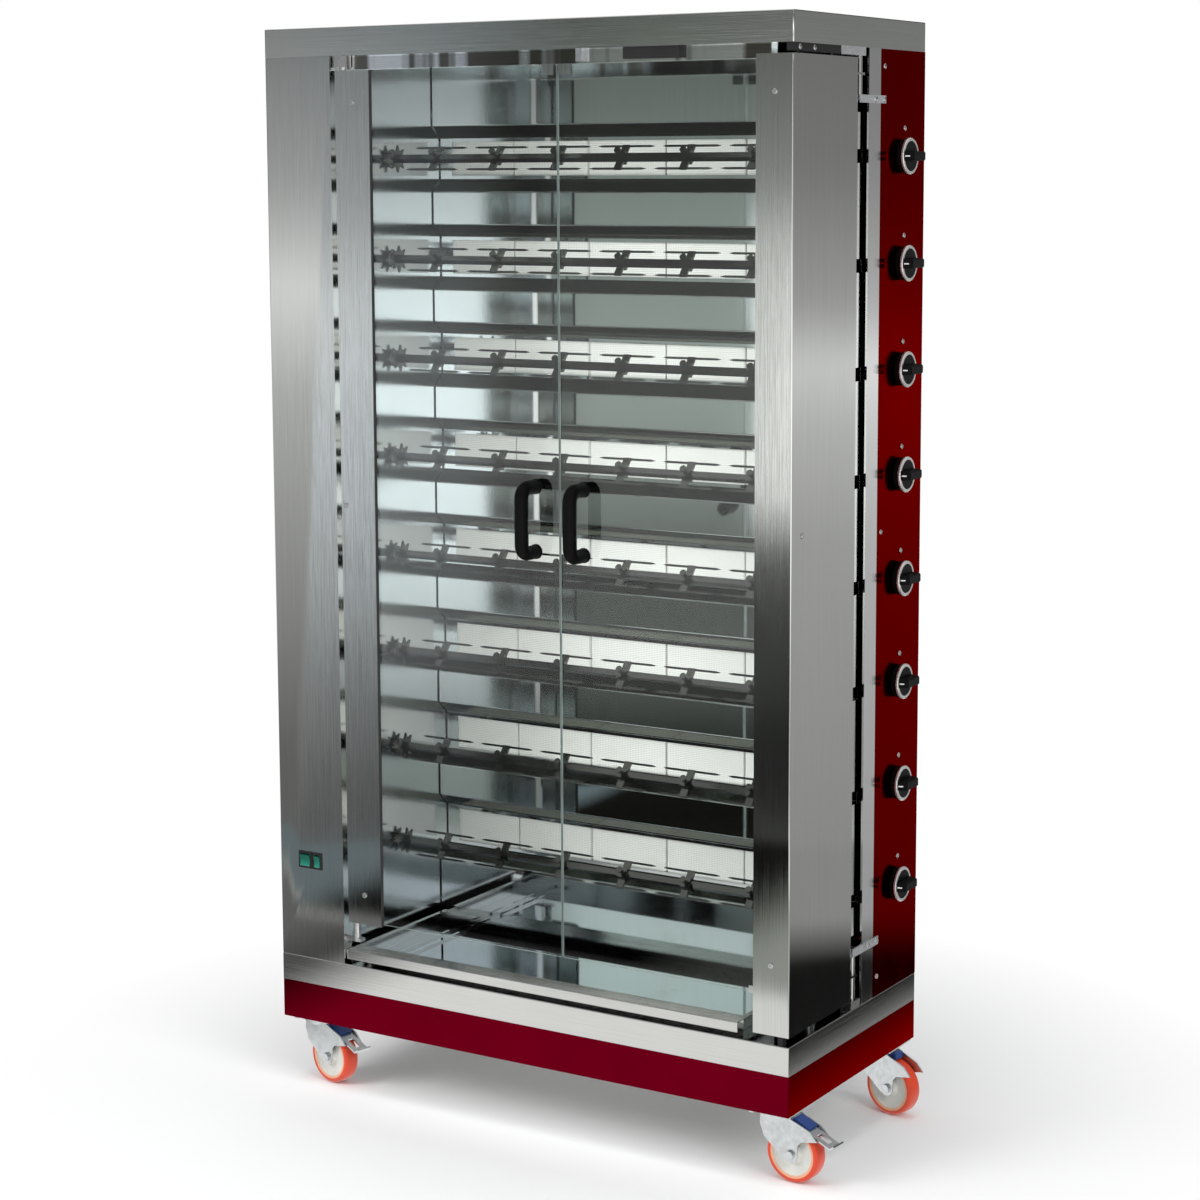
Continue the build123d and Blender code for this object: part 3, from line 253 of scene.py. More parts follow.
def doorGlass(name):
    # toughened pane: clear to lamps and to the steel's reflections, so the chamber is lit through it
    material, tree, shader = startMaterial(name, Transmission_Weight=1.0, IOR=1.45, Roughness=0.0,
                                           Specular_IOR_Level=0.12)
    film = noise(tree, (5, 5, 2.5), 4.0, 0.6)
    coat(tree, shader, mixColours(tree, remap(tree, film, 0.3, 0.75), (0.955, 0.975, 0.965), (0.925, 0.95, 0.94)))
    clear = addNode(tree, "ShaderNodeBsdfTransparent", {"Color": (0.93, 0.95, 0.94)})
    rays = addNode(tree, "ShaderNodeLightPath").outputs
    inner = calc(tree, "SUBTRACT", rays["Is Glossy Ray"], rays["Is Transmission Ray"])
    passing = calc(tree, "MAXIMUM", rays["Is Shadow Ray"], rays["Is Diffuse Ray"])
    pane = mixShaders(tree, calc(tree, "MAXIMUM", passing, inner), shader.outputs["BSDF"], clear.outputs["BSDF"])
    link(tree, pane, tree.nodes["Material Output"].inputs["Surface"])
    return material


def greenLens(name):
    # tinted rocker, paler towards its lower edge where the lamp sits
    material, tree, shader = startMaterial(name, Roughness=0.18, Specular_IOR_Level=0.6, Emission_Strength=0.15)
    low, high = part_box("wide_switch_rocker")
    rise = remap(tree, splitAxes(tree, objectCoords(tree, (1, 1, 1)))["Z"], low.z, high.z, 1, 0)
    ribs = noise(tree, (900, 40, 900), 2.0)
    tone = mixColours(tree, rise, (0.0, 0.05, 0.035), (0.012, 0.16, 0.11))
    coat(tree, shader, mixColours(tree, remap(tree, ribs, 0.4, 0.7, 0, 0.25), tone, (0.004, 0.1, 0.07)))
    link(tree, tone, shader.inputs["Emission Color"])
    bump(tree, shader, ribs, 0.1, 0.0003)
    return material


finishes = {
    "casing": brushedSteel("BrushedCasing", "upright", (0.56, 0.57, 0.55), 0.06),
    "band": brushedSteel("BrushedBand", "level", (0.6, 0.6, 0.59), 0.08),
    "canopy": brushedSteel("BrushedCanopy", "level", (0.67, 0.69, 0.66), 0.1),
    "tray": brushedSteel("TraySteel", "endlong", (0.6, 0.6, 0.59), 0.1, 0.12),
    "chamber": mirrorSteel("ChamberMirror", "upright", (0.7, 0.73, 0.74), 0.03, 0.25),
    "wall": brushedSteel("WallSteel", "upright", (0.66, 0.69, 0.7), 0.12),
    "ceiling": paintedReflectionMirror("CeilingPaintedReflection"),
    # the reflector's sloping faces: a near-black copy of the bright chamber steel, painted shade
    "slope": mirrorSteel("ReflectorSlopePaintedShade", "level", (0.09, 0.1, 0.08), 0.08, 0.2),
    "pan": mirrorSteel("TrayPan", "level", (0.62, 0.68, 0.74), 0.04, 0.15),
    "trim": brushedSteel("BrushedTrim", "upright", (0.74, 0.75, 0.74), 0.08),
    "spit": metal("SpitSteel", (0.14, 0.14, 0.13), 0.14, 300, 0.1),
    "red": enamel("RedLacquer", (0.145, 0.0, 0.009)),
    "galvanised": metal("Galvanised", (0.5, 0.52, 0.53), 0.42, 160, 0.12, 0.5),
    "zinc": metal("ZincPlate", (0.62, 0.64, 0.66), 0.3, 90, 0.15, 0.15),
    "screw": metal("ScrewSteel", (0.6, 0.6, 0.6), 0.26, 500, 0.2),
    "brass": metal("TapBrass", (0.62, 0.43, 0.17), 0.3, 240, 0.15),
    "bronze": metal("BearingBronze", (0.5, 0.3, 0.14), 0.38, 240, 0.2),
    "chain": metal("OiledChain", (0.2, 0.19, 0.18), 0.35, 400, 0.25),
    "iron": castIron("CastIron"),
    "ceramic": drilledCeramic("DrilledCeramic"),
    "glass": doorGlass("DoorGlass"),
    "glassEdge": plainPlastic("GlassEdge", (0.2, 0.24, 0.23), 0.2, 300, 0.1),
    "gloss": plainPlastic("GripBlack", (0.0015, 0.0015, 0.0015), 0.4, 220, 0.05, 0.08),
    "knob": plainPlastic("KnobBlack", (0.002, 0.002, 0.002), 0.4, 600, 0.15, 0.1),
    "matt": plainPlastic("MattBlack", (0.012, 0.012, 0.012), 0.55, 800, 0.3, 0.3),
    "ring": metal("KnobRing", (0.86, 0.86, 0.85), 0.4, 500, 0.2),
    "strap": metal("BrightZinc", (0.8, 0.83, 0.85), 0.42, 120, 0.15),
    "white": plainPlastic("PointerWhite", (0.8, 0.8, 0.78), 0.4, 400, 0.05),
    "green": greenLens("GreenLens"),
    "nylon": plainPlastic("NylonCore", (0.62, 0.62, 0.58), 0.45, 300, 0.15),
    "peach": plainPlastic("PeachRim", (0.72, 0.36, 0.22), 0.45, 300, 0.15),
    "orange": plainPlastic("OrangeTread", (0.6, 0.05, 0.015), 0.35, 200, 0.2),
    "blue": plainPlastic("BluePlastic", (0.015, 0.05, 0.2), 0.35, 300, 0.1),
    "paint": plainPlastic("MotorPaint", (0.03, 0.036, 0.042), 0.35, 420, 0.1),
}
print("finishes made:", len(finishes))


# ---- mesh helpers
def newPiece(name, mesh):
    piece = bpy.data.objects.new(name, mesh)
    scene.collection.objects.link(piece)
    return piece


def islandsOf(bm):
    seen = set()
    groups = []
    for start in bm.faces:
        if start in seen:
            continue
        seen.add(start)
        stack, group = [start], []
        while stack:
            face = stack.pop()
            group.append(face)
            for edge in face.edges:
                for other in edge.link_faces:
                    if other not in seen:
                        seen.add(other)
                        stack.append(other)
        groups.append(group)
    return groups


def islandBox(group):
    points = [vert.co for face in group for vert in face.verts]
    low = Vector([min(point[k] for point in points) for k in range(3)])
    high = Vector([max(point[k] for point in points) for k in range(3)])
    return (low + high) / 2, high - low


def smoothByAngle(mesh, degrees):
    mesh.shade_smooth()
    mesh.set_sharp_from_angle(angle=math.radians(degrees))


def bevelled(piece, width):
    bevel = piece.modifiers.new("Bevel", "BEVEL")
    bevel.width = width
    bevel.segments = 2
    bevel.limit_method = "ANGLE"
    bevel.angle_limit = math.radians(35)
    bevel.harden_normals = True


def flatten(piece):
    # large faces keep a flat mirror image beside their rounded folds
    weighted = piece.modifiers.new("Weighted", "WEIGHTED_NORMAL")
    weighted.weight = 100
    weighted.keep_sharp = True


def near(first, second):
    return abs(first - second) < 0.0002


def roundFolds(piece, width, corners, top=None):
    # a wide bend on the upright edges at the given (x, y) corners and on the edges at the height "top"
    mesh = piece.data
    weights = mesh.attributes.new("bevel_weight_edge", "FLOAT", "EDGE")
    for edge, entry in zip(mesh.edges, weights.data):
        a, b = (mesh.vertices[k].co for k in edge.vertices)
        flat = top is not None and near(a.z, top) and near(b.z, top)
        ends = [[corner for corner in corners if near(p.x, corner[0]) and near(p.y, corner[1])] for p in (a, b)]
        upright = ends[0] and ends[0] == ends[1]
        border = flat and any(near(a[k], corner[k]) and near(b[k], corner[k]) for corner in corners for k in (0, 1))
        entry.value = 1.0 if upright or border else 0.0
    fold = piece.modifiers.new("Fold", "BEVEL")
    fold.width = width
    fold.segments = 5
    fold.limit_method = "WEIGHT"
    fold.harden_normals = True
    piece.modifiers.move(len(piece.modifiers) - 1, 0)


def mergedCopy(nodeName):
    bm = bmesh.new()
    bm.from_mesh(nodes[nodeName].data)
    bmesh.ops.remove_doubles(bm, verts=bm.verts, dist=0.00001)
    return bm


def dropCustomNormals(mesh):
    for attribute in [a.name for a in mesh.attributes if a.name == "custom_normal"]:
        mesh.attributes.remove(mesh.attributes[attribute])


def dress(nodeName, pieceName, bodyName, skins, bevelWidth):
    # a merged copy of the CAD node, with a finish for each loose part of it and rounded edges
    mesh = bpy.data.meshes.new(pieceName)
    bm = mergedCopy(nodeName)
    for layers in (bm.loops.layers.uv, bm.loops.layers.float_vector, bm.loops.layers.color):
        for layer in list(layers.values()):
            layers.remove(layer)
    bmesh.ops.dissolve_limit(bm, angle_limit=math.radians(0.5), verts=bm.verts, edges=bm.edges)
    palette = [] if callable(skins) else [skins]
    for group in islandsOf(bm):
        centre, size = islandBox(group)
        for face in group:
            skin = skins(centre, size, face) if callable(skins) else skins
            if skin not in palette:
                palette.append(skin)
            face.material_index = palette.index(skin)
    bm.to_mesh(mesh)
    bm.free()
    dropCustomNormals(mesh)
    for skin in palette:
        mesh.materials.append(finishes[skin])
    smoothByAngle(mesh, 35)
    piece = newPiece(pieceName, mesh)
    if bevelWidth:
        bevelled(piece, bevelWidth)
    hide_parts(nodeName)
    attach(piece, bodyName)
    return piece


def roundedBlock(bm, size, corner):
    bmesh.ops.create_cube(bm, size=1)
    bmesh.ops.scale(bm, vec=size, verts=bm.verts)
    bmesh.ops.bevel(bm, geom=bm.edges[:], offset=corner, segments=2, affect="EDGES")


def joinRings(bm, first, second, materialIndex=0):
    for n in range(len(first)):
        m = (n + 1) % len(first)
        face = bm.faces.new((first[n], first[m], second[m], second[n]))
        face.material_index = materialIndex
        face.smooth = True


def latheMesh(bm, profile, steps, materialIndex=0):
    # closed profile of (radius, along) turned about the local Y axis
    rings = []
    for n in range(steps):
        angle = 2 * math.pi * n / steps
        rings.append([bm.verts.new((r * math.cos(angle), y, r * math.sin(angle))) for r, y in profile])
    for n in range(steps):
        joinRings(bm, rings[n], rings[(n + 1) % steps], materialIndex)


def tube(bm, points, radius, sides):
    # round bar along a run of points, closed at both ends
    rings = []
    side = (points[1] - points[0]).normalized().orthogonal().normalized()
    for k, point in enumerate(points):
        way = (points[min(k + 1, len(points) - 1)] - points[max(k - 1, 0)]).normalized()
        side = (side - way * side.dot(way)).normalized()
        other = way.cross(side)
        angles = [2 * math.pi * n / sides for n in range(sides)]
        spokes = [(side * math.cos(angle) + other * math.sin(angle)) * radius for angle in angles]
        rings.append([bm.verts.new(point + spoke) for spoke in spokes])
    for first, second in zip(rings, rings[1:]):
        joinRings(bm, first, second)
    bm.faces.new(rings[0][::-1])
    bm.faces.new(rings[-1])


def plainMesh(bm, name):
    mesh = bpy.data.meshes.new(name)
    bm.to_mesh(mesh)
    bm.free()
    return mesh


def finishedPiece(bm, name, skins, degrees=35):
    bmesh.ops.recalc_face_normals(bm, faces=bm.faces)
    mesh = plainMesh(bm, name)
    for skin in skins:
        mesh.materials.append(finishes[skin])
    smoothByAngle(mesh, degrees)
    return newPiece(name, mesh)


# ---- Geometry Nodes helpers
def startTree(name, inputs):
    tree = bpy.data.node_groups.new(name, "GeometryNodeTree")
    for title, kind, value in inputs:
        socket = tree.interface.new_socket(title, in_out="INPUT", socket_type=kind)
        if value is not None:
            socket.default_value = value
    tree.interface.new_socket("Geometry", in_out="OUTPUT", socket_type="NodeSocketGeometry")
    return tree, tree.nodes.new("NodeGroupInput").outputs, tree.nodes.new("NodeGroupOutput").inputs["Geometry"]


def growMesh(tree, values, pieceName, base=None):
    # runs the tree on a bare object and keeps the result as a plain mesh
    host = newPiece(pieceName, base or bpy.data.meshes.new(pieceName + "Host"))
    modifier = host.modifiers.new("Nodes", "NODES")
    modifier.node_group = tree
    for item in tree.interface.items_tree:
        if item.in_out == "INPUT" and item.name in values:
            modifier[item.identifier] = values[item.name]
    host.update_tag()
    bpy.context.view_layer.update()
    depsgraph = bpy.context.evaluated_depsgraph_get()
    mesh = bpy.data.meshes.new_from_object(host.evaluated_get(depsgraph), depsgraph=depsgraph)
    mesh.name = pieceName
    host.modifiers.clear()
    host.data = mesh
    return host


def realized(tree, instances):
    return addNode(tree, "GeometryNodeRealizeInstances", {"Geometry": instances}).outputs["Geometry"]


def painted(tree, geometry, material, **selection):
    return addNode(tree, "GeometryNodeSetMaterial", {
        "Geometry": geometry, "Material": material, **selection}).outputs["Geometry"]


def spread(tree, points, instance, **placing):
    return addNode(tree, "GeometryNodeInstanceOnPoints", {
        "Points": points, "Instance": instance, **placing}).outputs["Instances"]


def meshLine(tree, count, step, **placing):
    inputs = {"Count": count, "Offset": step, **placing}
    return addNode(tree, "GeometryNodeMeshLine", inputs, mode="OFFSET").outputs["Mesh"]


def itemShape(tree, item):
    return addNode(tree, "GeometryNodeObjectInfo", {"Object": item}, transform_space="ORIGINAL").outputs["Geometry"]


def scaled(tree, vector, factor):
    return addNode(tree, "ShaderNodeVectorMath", {0: vector, "Scale": factor}, operation="SCALE").outputs[0]


def gridRepeatTree():
    # lays one item out in columns and rows
    tree, given, end = startTree("RepeatInGrid", [
        ("Item", "NodeSocketObject", None),
        ("Columns", "NodeSocketInt", 1), ("Column Step", "NodeSocketVector", (0.1, 0, 0)),
        ("Rows", "NodeSocketInt", 1), ("Row Step", "NodeSocketVector", (0, 0, 0.1)),
        ("First", "NodeSocketVector", (0, 0, 0)),
        ("Play", "NodeSocketFloat", 0.0), ("Seed", "NodeSocketInt", 3),
        ("Finish", "NodeSocketMaterial", None)])
    columns = meshLine(tree, given["Columns"], given["Column Step"])
    rows = meshLine(tree, given["Rows"], given["Row Step"], **{"Start Location": given["First"]})
    reach = scaled(tree, (0, 1, 0.4), given["Play"])
    back = scaled(tree, reach, -1)
    wobble = addNode(tree, "FunctionNodeRandomValue", {
        "Min": back, "Max": reach, "Seed": given["Seed"]}, data_type="FLOAT_VECTOR")
    shift = addNode(tree, "GeometryNodeSetPosition", {
        "Geometry": realized(tree, spread(tree, rows, columns)), "Offset": wobble.outputs["Value"]})
    copies = realized(tree, spread(tree, shift.outputs["Geometry"], itemShape(tree, given["Item"])))
    link(tree, painted(tree, copies, given["Finish"]), end)
    return tree


def facingTree():
    # puts one item on every point, its Z along the point's "way", turned by a random step
    tree, given, end = startTree("SetOnPoints", [
        ("Points", "NodeSocketGeometry", None), ("Item", "NodeSocketObject", None),
        ("Size", "NodeSocketFloat", 1.0), ("Twist", "NodeSocketFloat", 3.1), ("Seed", "NodeSocketInt", 5),
        ("Finish", "NodeSocketMaterial", None)])
    way = addNode(tree, "GeometryNodeInputNamedAttribute", {"Name": "way"}, data_type="FLOAT_VECTOR")
    aim = addNode(tree, "FunctionNodeAlignRotationToVector", {"Vector": way.outputs["Attribute"]}, axis="Z")
    twist = addNode(tree, "FunctionNodeRandomValue", {3: given["Twist"], "Seed": given["Seed"]}, data_type="FLOAT")
    spin = addNode(tree, "ShaderNodeCombineXYZ", {"Z": twist.outputs[1]})
    turn = addNode(tree, "FunctionNodeRotateRotation", {
        "Rotation": aim.outputs["Rotation"], "Rotate By": spin.outputs["Vector"]}, rotation_space="LOCAL")
    copies = spread(tree, given["Points"], itemShape(tree, given["Item"]), Rotation=turn.outputs["Rotation"],
                    Scale=given["Size"])
    link(tree, painted(tree, realized(tree, copies), given["Finish"]), end)
    return tree


def foldedSheetTree():
    # a route with rounded corners, drawn out to a width, thickened, with a column of windows cut through
    tree, given, end = startTree("FoldedSheet", [
        ("Route", "NodeSocketGeometry", None), ("Fold Radius", "NodeSocketFloat", 0.002),
        ("Fold Steps", "NodeSocketInt", 4), ("Width", "NodeSocketFloat", 0.5), ("Sheet", "NodeSocketFloat", 0.0015),
        ("Windows", "NodeSocketInt", 1), ("Window Step", "NodeSocketFloat", 0.1),
        ("Window Size", "NodeSocketVector", (0.1, 0.1, 0.1)), ("First Window", "NodeSocketVector", (0, 0, 0)),
        ("Flat Finish", "NodeSocketMaterial", None), ("Painted Shade Slope Finish", "NodeSocketMaterial", None)])
    curve = addNode(tree, "GeometryNodeMeshToCurve", {"Mesh": given["Route"]})
    fillet = addNode(tree, "GeometryNodeFilletCurve", {
        "Curve": curve.outputs["Curve"], "Count": given["Fold Steps"], "Radius": given["Fold Radius"]}, mode="POLY")
    wire = addNode(tree, "GeometryNodeCurveToMesh", {"Curve": fillet.outputs["Curve"]})
    across = addNode(tree, "ShaderNodeCombineXYZ", {"X": given["Width"]})
    sheet = addNode(tree, "GeometryNodeExtrudeMesh", {
        "Mesh": wire.outputs["Mesh"], "Offset": across.outputs["Vector"], "Offset Scale": 1.0}, mode="EDGES")
    thick = addNode(tree, "GeometryNodeExtrudeMesh", {
        "Mesh": sheet.outputs["Mesh"], "Offset Scale": given["Sheet"], "Individual": False}, mode="FACES")
    front = addNode(tree, "GeometryNodeFlipFaces", {"Mesh": sheet.outputs["Mesh"]})
    both = addNode(tree, "GeometryNodeJoinGeometry")
    for half in (thick, front):
        link(tree, half.outputs["Mesh"], both.inputs["Geometry"])
    shell = addNode(tree, "GeometryNodeMergeByDistance", {"Geometry": both.outputs["Geometry"], "Distance": 0.00002})
    rise = addNode(tree, "ShaderNodeCombineXYZ", {"Z": given["Window Step"]})
    line = meshLine(tree, given["Windows"], rise.outputs["Vector"], **{"Start Location": given["First Window"]})
    hole = addNode(tree, "GeometryNodeMeshCube", {"Size": given["Window Size"]})
    cutters = realized(tree, spread(tree, line, hole.outputs["Mesh"]))
    cut = addNode(tree, "GeometryNodeMeshBoolean", {
        "Mesh 1": shell.outputs["Geometry"], "Mesh 2": cutters}, operation="DIFFERENCE", solver="EXACT")
    # faces that slope between the flats get a darker finish than the flats: painted shade by the faces' tilt
    normal = addNode(tree, "GeometryNodeInputNormal")
    tilt = calc(tree, "ABSOLUTE", splitAxes(tree, normal.outputs["Normal"])["Z"])
    paintedShadeSlopes = calc(tree, "MULTIPLY", calc(tree, "GREATER_THAN", tilt, 0.5), calc(tree, "LESS_THAN", tilt, 0.95))
    flat = painted(tree, cut.outputs["Mesh"], given["Flat Finish"])
    link(tree, painted(tree, flat, given["Painted Shade Slope Finish"], Selection=paintedShadeSlopes), end)
    return tree


repeatTree = gridRepeatTree()
onPointsTree = facingTree()
sheetTree = foldedSheetTree()


def pointMesh(name, places):
    mesh = bpy.data.meshes.new(name)
    mesh.from_pydata([place for place, way in places], [], [])
    attribute = mesh.attributes.new("way", "FLOAT_VECTOR", "POINT")
    for entry, (place, way) in zip(attribute.data, places):
        entry.vector = way
    return mesh


# ---- camera
camera = {
    "place": (2.4508, -3.9665, 1.6795),
    "azimuth": 31.78, "pitch": 7.46, "roll": -0.24,
    "lens": 79.65, "shiftY": -0.07,
}
turnA, pitchE, rollR = (math.radians(camera[key]) for key in ("azimuth", "pitch", "roll"))
ahead = Vector((-math.sin(turnA) * math.cos(pitchE), math.cos(turnA) * math.cos(pitchE), -math.sin(pitchE)))
level = Vector((math.cos(turnA), math.sin(turnA), 0))
upward = level.cross(ahead)
sideAxis = level * math.cos(rollR) + upward * math.sin(rollR)
upAxis = upward * math.cos(rollR) - level * math.sin(rollR)
cameraData = bpy.data.cameras.new("PhotoCamera")
cameraData.lens = camera["lens"]
cameraData.sensor_width = 36
cameraData.shift_y = camera["shiftY"]
cameraObject = bpy.data.objects.new("PhotoCamera", cameraData)
scene.collection.objects.link(cameraObject)
turned = Matrix((sideAxis, upAxis, -ahead)).transposed().to_4x4()
cameraObject.matrix_world = Matrix.Translation(camera["place"]) @ turned
scene.camera = cameraObject
print("camera set")


# ---- light and floor
studio = {
    "ambient": 0.55,
    # the room that the steel mirrors: brightness by the ray's height above the horizon in degrees
    "columnCard": [(-24, 0.9), (-16, 1), (-14.5, 0.05), (-12, 0.015), (-9.5, 0.09), (-8.2, 0.25), (-7, 1.9),
                   (-4.5, 1.85), (-1.8, 1.35), (-0.5, 0.45), (2, 0.25), (6, 0.05), (25, 0.05), (50, 0.8)],
    "chamberCard": [(-24, 0.2), (-15, 0.18), (-14, 0.01), (-13.2, 0.01), (-11.2, 0.08), (-8.6, 0.07), (-7.1, 0.24),
                    (-5, 0.41), (-2.8, 0.38), (-0.8, 0.34), (1.6, 0.21), (6, 0.05), (11, 0.05), (14, 0.9),
                    (18, 0.9), (24, 0.05), (50, 0.6)],
    "brightCard": [(-24, 0.7), (-15, 0.8), (-14.2, 0.1), (-13.1, 0.12), (-11, 0.35), (-9, 0.9), (-6.9, 1.33),
                   (-4.8, 1.45), (-2.8, 1.05), (-0.8, 0.68), (1.6, 0.5), (6, 0.05), (11, 0.05), (14, 1.4),
                   (18, 1.4), (24, 0.05), (50, 0.6)],
    "coverCard": [(-24, 0.15), (-14, 0.2), (-11, 0.38), (-8, 0.55), (-5.5, 0.7), (-3, 1.15), (-1.7, 0.8),
                  (-0.5, 0.55), (2, 0.4), (6, 0.05), (25, 0.05), (50, 0.8)],
    "sideCard": [(-24, 0.4), (-16, 0.4), (-8, 0.54), (-5.5, 0.75), (-4.2, 1.0), (-3, 0.54), (0, 0.3), (3, 0.25),
                 (8, 0.1), (25, 0.1), (50, 0.8)],
    "rightCard": [(-24, 1.0), (-16, 1.8), (-14.6, 1.7), (-13.6, 0.43), (-11.5, 0.55), (-9, 1.5), (-6.9, 2.3),
                  (-4.8, 2.6), (-2.8, 2.1), (-0.8, 1.2), (1.6, 0.62), (6, 0.2), (11, 0.1), (14, 1.0), (18, 1.0),
                  (25, 0.05), (50, 0.8)],
    # each card fills the bearings from its start on, in degrees to the left of straight ahead
    "sectors": {"columnCard": (5, 15), "chamberCard": (28.2, 28.5), "brightCard": (33.8, 34.8),
                "coverCard": (36.6, 37.6)},
    "tints": {"brightCard": (0.86, 0.95, 1.06), "chamberCard": (0.94, 1.02, 0.93)},
    "streak": {"bearing": 33.4, "spread": 0.75, "depth": 0.85},
    "rampSpan": 80,
    "rampMiddle": 0.4,
    "cardPower": 5.5,
}
floorSizes = {
    "radius": 2.3, "tone": 0.86,
    # what steel mirrors: a sheet of paper in front of the object, and a dark floor beyond and beside it
    "paperX": (-0.98, -0.72), "paperY": (-2.05, -1.7), "paper": (1.1, 1.1, 1.08),
    "bareX": (-0.9, -1.2), "bare": (0.04, 0.19),
    "farY": (-1.1, -1.2), "farMiddleX": (-1.2, -1.3), "farRightX": (-0.4, -0.2),
    "farMiddle": (0.004, 0.004, 0.002), "farLeft": (0.2, 0.24, 0.26), "farRight": (0.43, 0.45, 0.42),
    "besideX": (0.6, 0.8), "besideY": (-0.5, 0), "besideReach": (1.4, 1.7), "beside": (0.012, 0.4),
    "fade": (0.5, 1.25),
}


def cardLevel(tree, height, card):
    levels = studio[card]
    tint = studio["tints"].get(card, (1, 1, 1))
    ramp = addNode(tree, "ShaderNodeValToRGB", {"Fac": height})
    stops = ramp.color_ramp.elements
    while len(stops) < len(levels):
        stops.new(0.5)
    for stop, (degrees, value) in zip(stops, levels):
        stop.position = degrees / studio["rampSpan"] + studio["rampMiddle"]
        stop.color = (*shade(tint, value / 2), 1)
    return ramp.outputs["Color"]


def seenDirectly(tree, rays):
    # 1 for the camera's own rays, also through a pane, and 0 once a ray has been mirrored
    through = calc(tree, "MULTIPLY", rays["Is Transmission Ray"], calc(tree, "LESS_THAN", rays["Glossy Depth"], 0.5))
    return calc(tree, "MAXIMUM", rays["Is Camera Ray"], through)


def background(tree, colour, strength):
    return addNode(tree, "ShaderNodeBackground", {"Color": colour, "Strength": strength}).outputs["Background"]


def studioWorld():
    world = bpy.data.worlds.new("Studio")
    scene.world = world
    world.cycles.sampling_method = "NONE"  # the lamps light the object, and only mirrored rays see the cards
    world.use_nodes = True
    tree = world.node_tree
    tree.nodes.clear()
    coords = addNode(tree, "ShaderNodeTexCoord")
    way = splitAxes(tree, coords.outputs["Generated"])
    height = calc(tree, "MULTIPLY", calc(tree, "ARCSINE", way["Z"]), 180 / math.pi / studio["rampSpan"])
    height = calc(tree, "ADD", height, studio["rampMiddle"])
    flatX, flatY = (calc(tree, "MULTIPLY", way[axis], -1) for axis in "XY")
    bearing = calc(tree, "MULTIPLY", calc(tree, "ARCTAN2", flatX, flatY), 180 / math.pi)
    level = cardLevel(tree, height, "rightCard")
    for card, sector in studio["sectors"].items():
        level = mixColours(tree, remap(tree, bearing, *sector), level, cardLevel(tree, height, card))
    streak = studio["streak"]
    offset = calc(tree, "DIVIDE", calc(tree, "SUBTRACT", bearing, streak["bearing"]), streak["spread"])
    band = calc(tree, "EXPONENT", calc(tree, "MULTIPLY", calc(tree, "MULTIPLY", offset, offset), -1))
    level = mixColours(tree, calc(tree, "MULTIPLY", band, streak["depth"]), level, (0, 0, 0))
    level = mixColours(tree, remap(tree, way["Y"], -0.1, 0.1), level, cardLevel(tree, height, "sideCard"))
    rays = addNode(tree, "ShaderNodeLightPath").outputs
    shiny = calc(tree, "MAXIMUM", rays["Is Glossy Ray"], rays["Is Transmission Ray"])
    room = mixShaders(tree, shiny, background(tree, (0.98, 0.99, 1), studio["ambient"]), background(tree, level, 2.0))
    sky = mixShaders(tree, seenDirectly(tree, rays), room, background(tree, (1, 1, 1), 1.0))
    addNode(tree, "ShaderNodeOutputWorld", {"Surface": sky})


def paleFloor():
    # pale disc that keeps the shadow and fades into the white behind it
    bm = bmesh.new()
    bmesh.ops.create_circle(bm, cap_ends=True, cap_tris=True, segments=96, radius=floorSizes["radius"])
    floor = newPiece("Floor", plainMesh(bm, "Floor"))
    tone = floorSizes["tone"]
    material, tree, shader = startMaterial("PaleFloor", Base_Color=(tone, tone, tone, 1), Roughness=0.9,
                                           Specular_IOR_Level=0.1)
    bump(tree, shader, noise(tree, (300, 300, 300)), 0.05, 0.0005)
    place = objectCoords(tree, (1, 1, 1))
    axes = splitAxes(tree, place)
    reach = addNode(tree, "ShaderNodeVectorMath", {0: place}, operation="LENGTH").outputs["Value"]

    def zone(axis, name, *levels):
        return remap(tree, axes[axis], *floorSizes[name], *levels)

    paper = calc(tree, "MULTIPLY", zone("X", "paperX"), zone("Y", "paperY"))
    bare = zone("X", "bareX", *floorSizes["bare"])
    far = zone("Y", "farY")
    farLeft = mixColours(tree, zone("X", "farMiddleX"), floorSizes["farMiddle"], floorSizes["farLeft"])
    farTone = mixColours(tree, zone("X", "farRightX"), farLeft, floorSizes["farRight"])
    sheet = mixColours(tree, far, floorSizes["paper"], farTone)
    mirrored = mixColours(tree, calc(tree, "MAXIMUM", paper, far), bare, sheet)
    beside = calc(tree, "MULTIPLY", zone("X", "besideX"), zone("Y", "besideY"))
    besideTone = remap(tree, reach, *floorSizes["besideReach"], *floorSizes["beside"])
    mirrored = mixColours(tree, beside, mirrored, besideTone)
    rays = addNode(tree, "ShaderNodeLightPath").outputs
    seen = seenDirectly(tree, rays)
    glow = addNode(tree, "ShaderNodeEmission", {"Color": mixColours(tree, seen, mirrored, (1.0, 1.0, 1.0))})
    fade = calc(tree, "MULTIPLY", remap(tree, reach, *floorSizes["fade"]), seen)
    shiny = calc(tree, "MAXIMUM", rays["Is Glossy Ray"], rays["Is Transmission Ray"])
    glowing = calc(tree, "MAXIMUM", fade, calc(tree, "SUBTRACT", shiny, seen))
    ground = mixShaders(tree, glowing, shader.outputs["BSDF"], glow.outputs["Emission"])
    link(tree, ground, tree.nodes["Material Output"].inputs["Surface"])
    material.cycles.emission_sampling = "NONE"
    floor.data.materials.append(material)


def areaLamp(name, place, target, size, power):
    data = bpy.data.lights.new(name, "AREA")
    data.shape = "RECTANGLE"
    data.size, data.size_y = size
    data.energy = power
    lamp = bpy.data.objects.new(name, data)
    scene.collection.objects.link(lamp)
    lamp.location = place
    lamp.rotation_mode = "QUATERNION"
    lamp.rotation_quaternion = (Vector(target) - Vector(place)).to_track_quat("-Z", "Y")
    lamp.visible_glossy = False
    return lamp


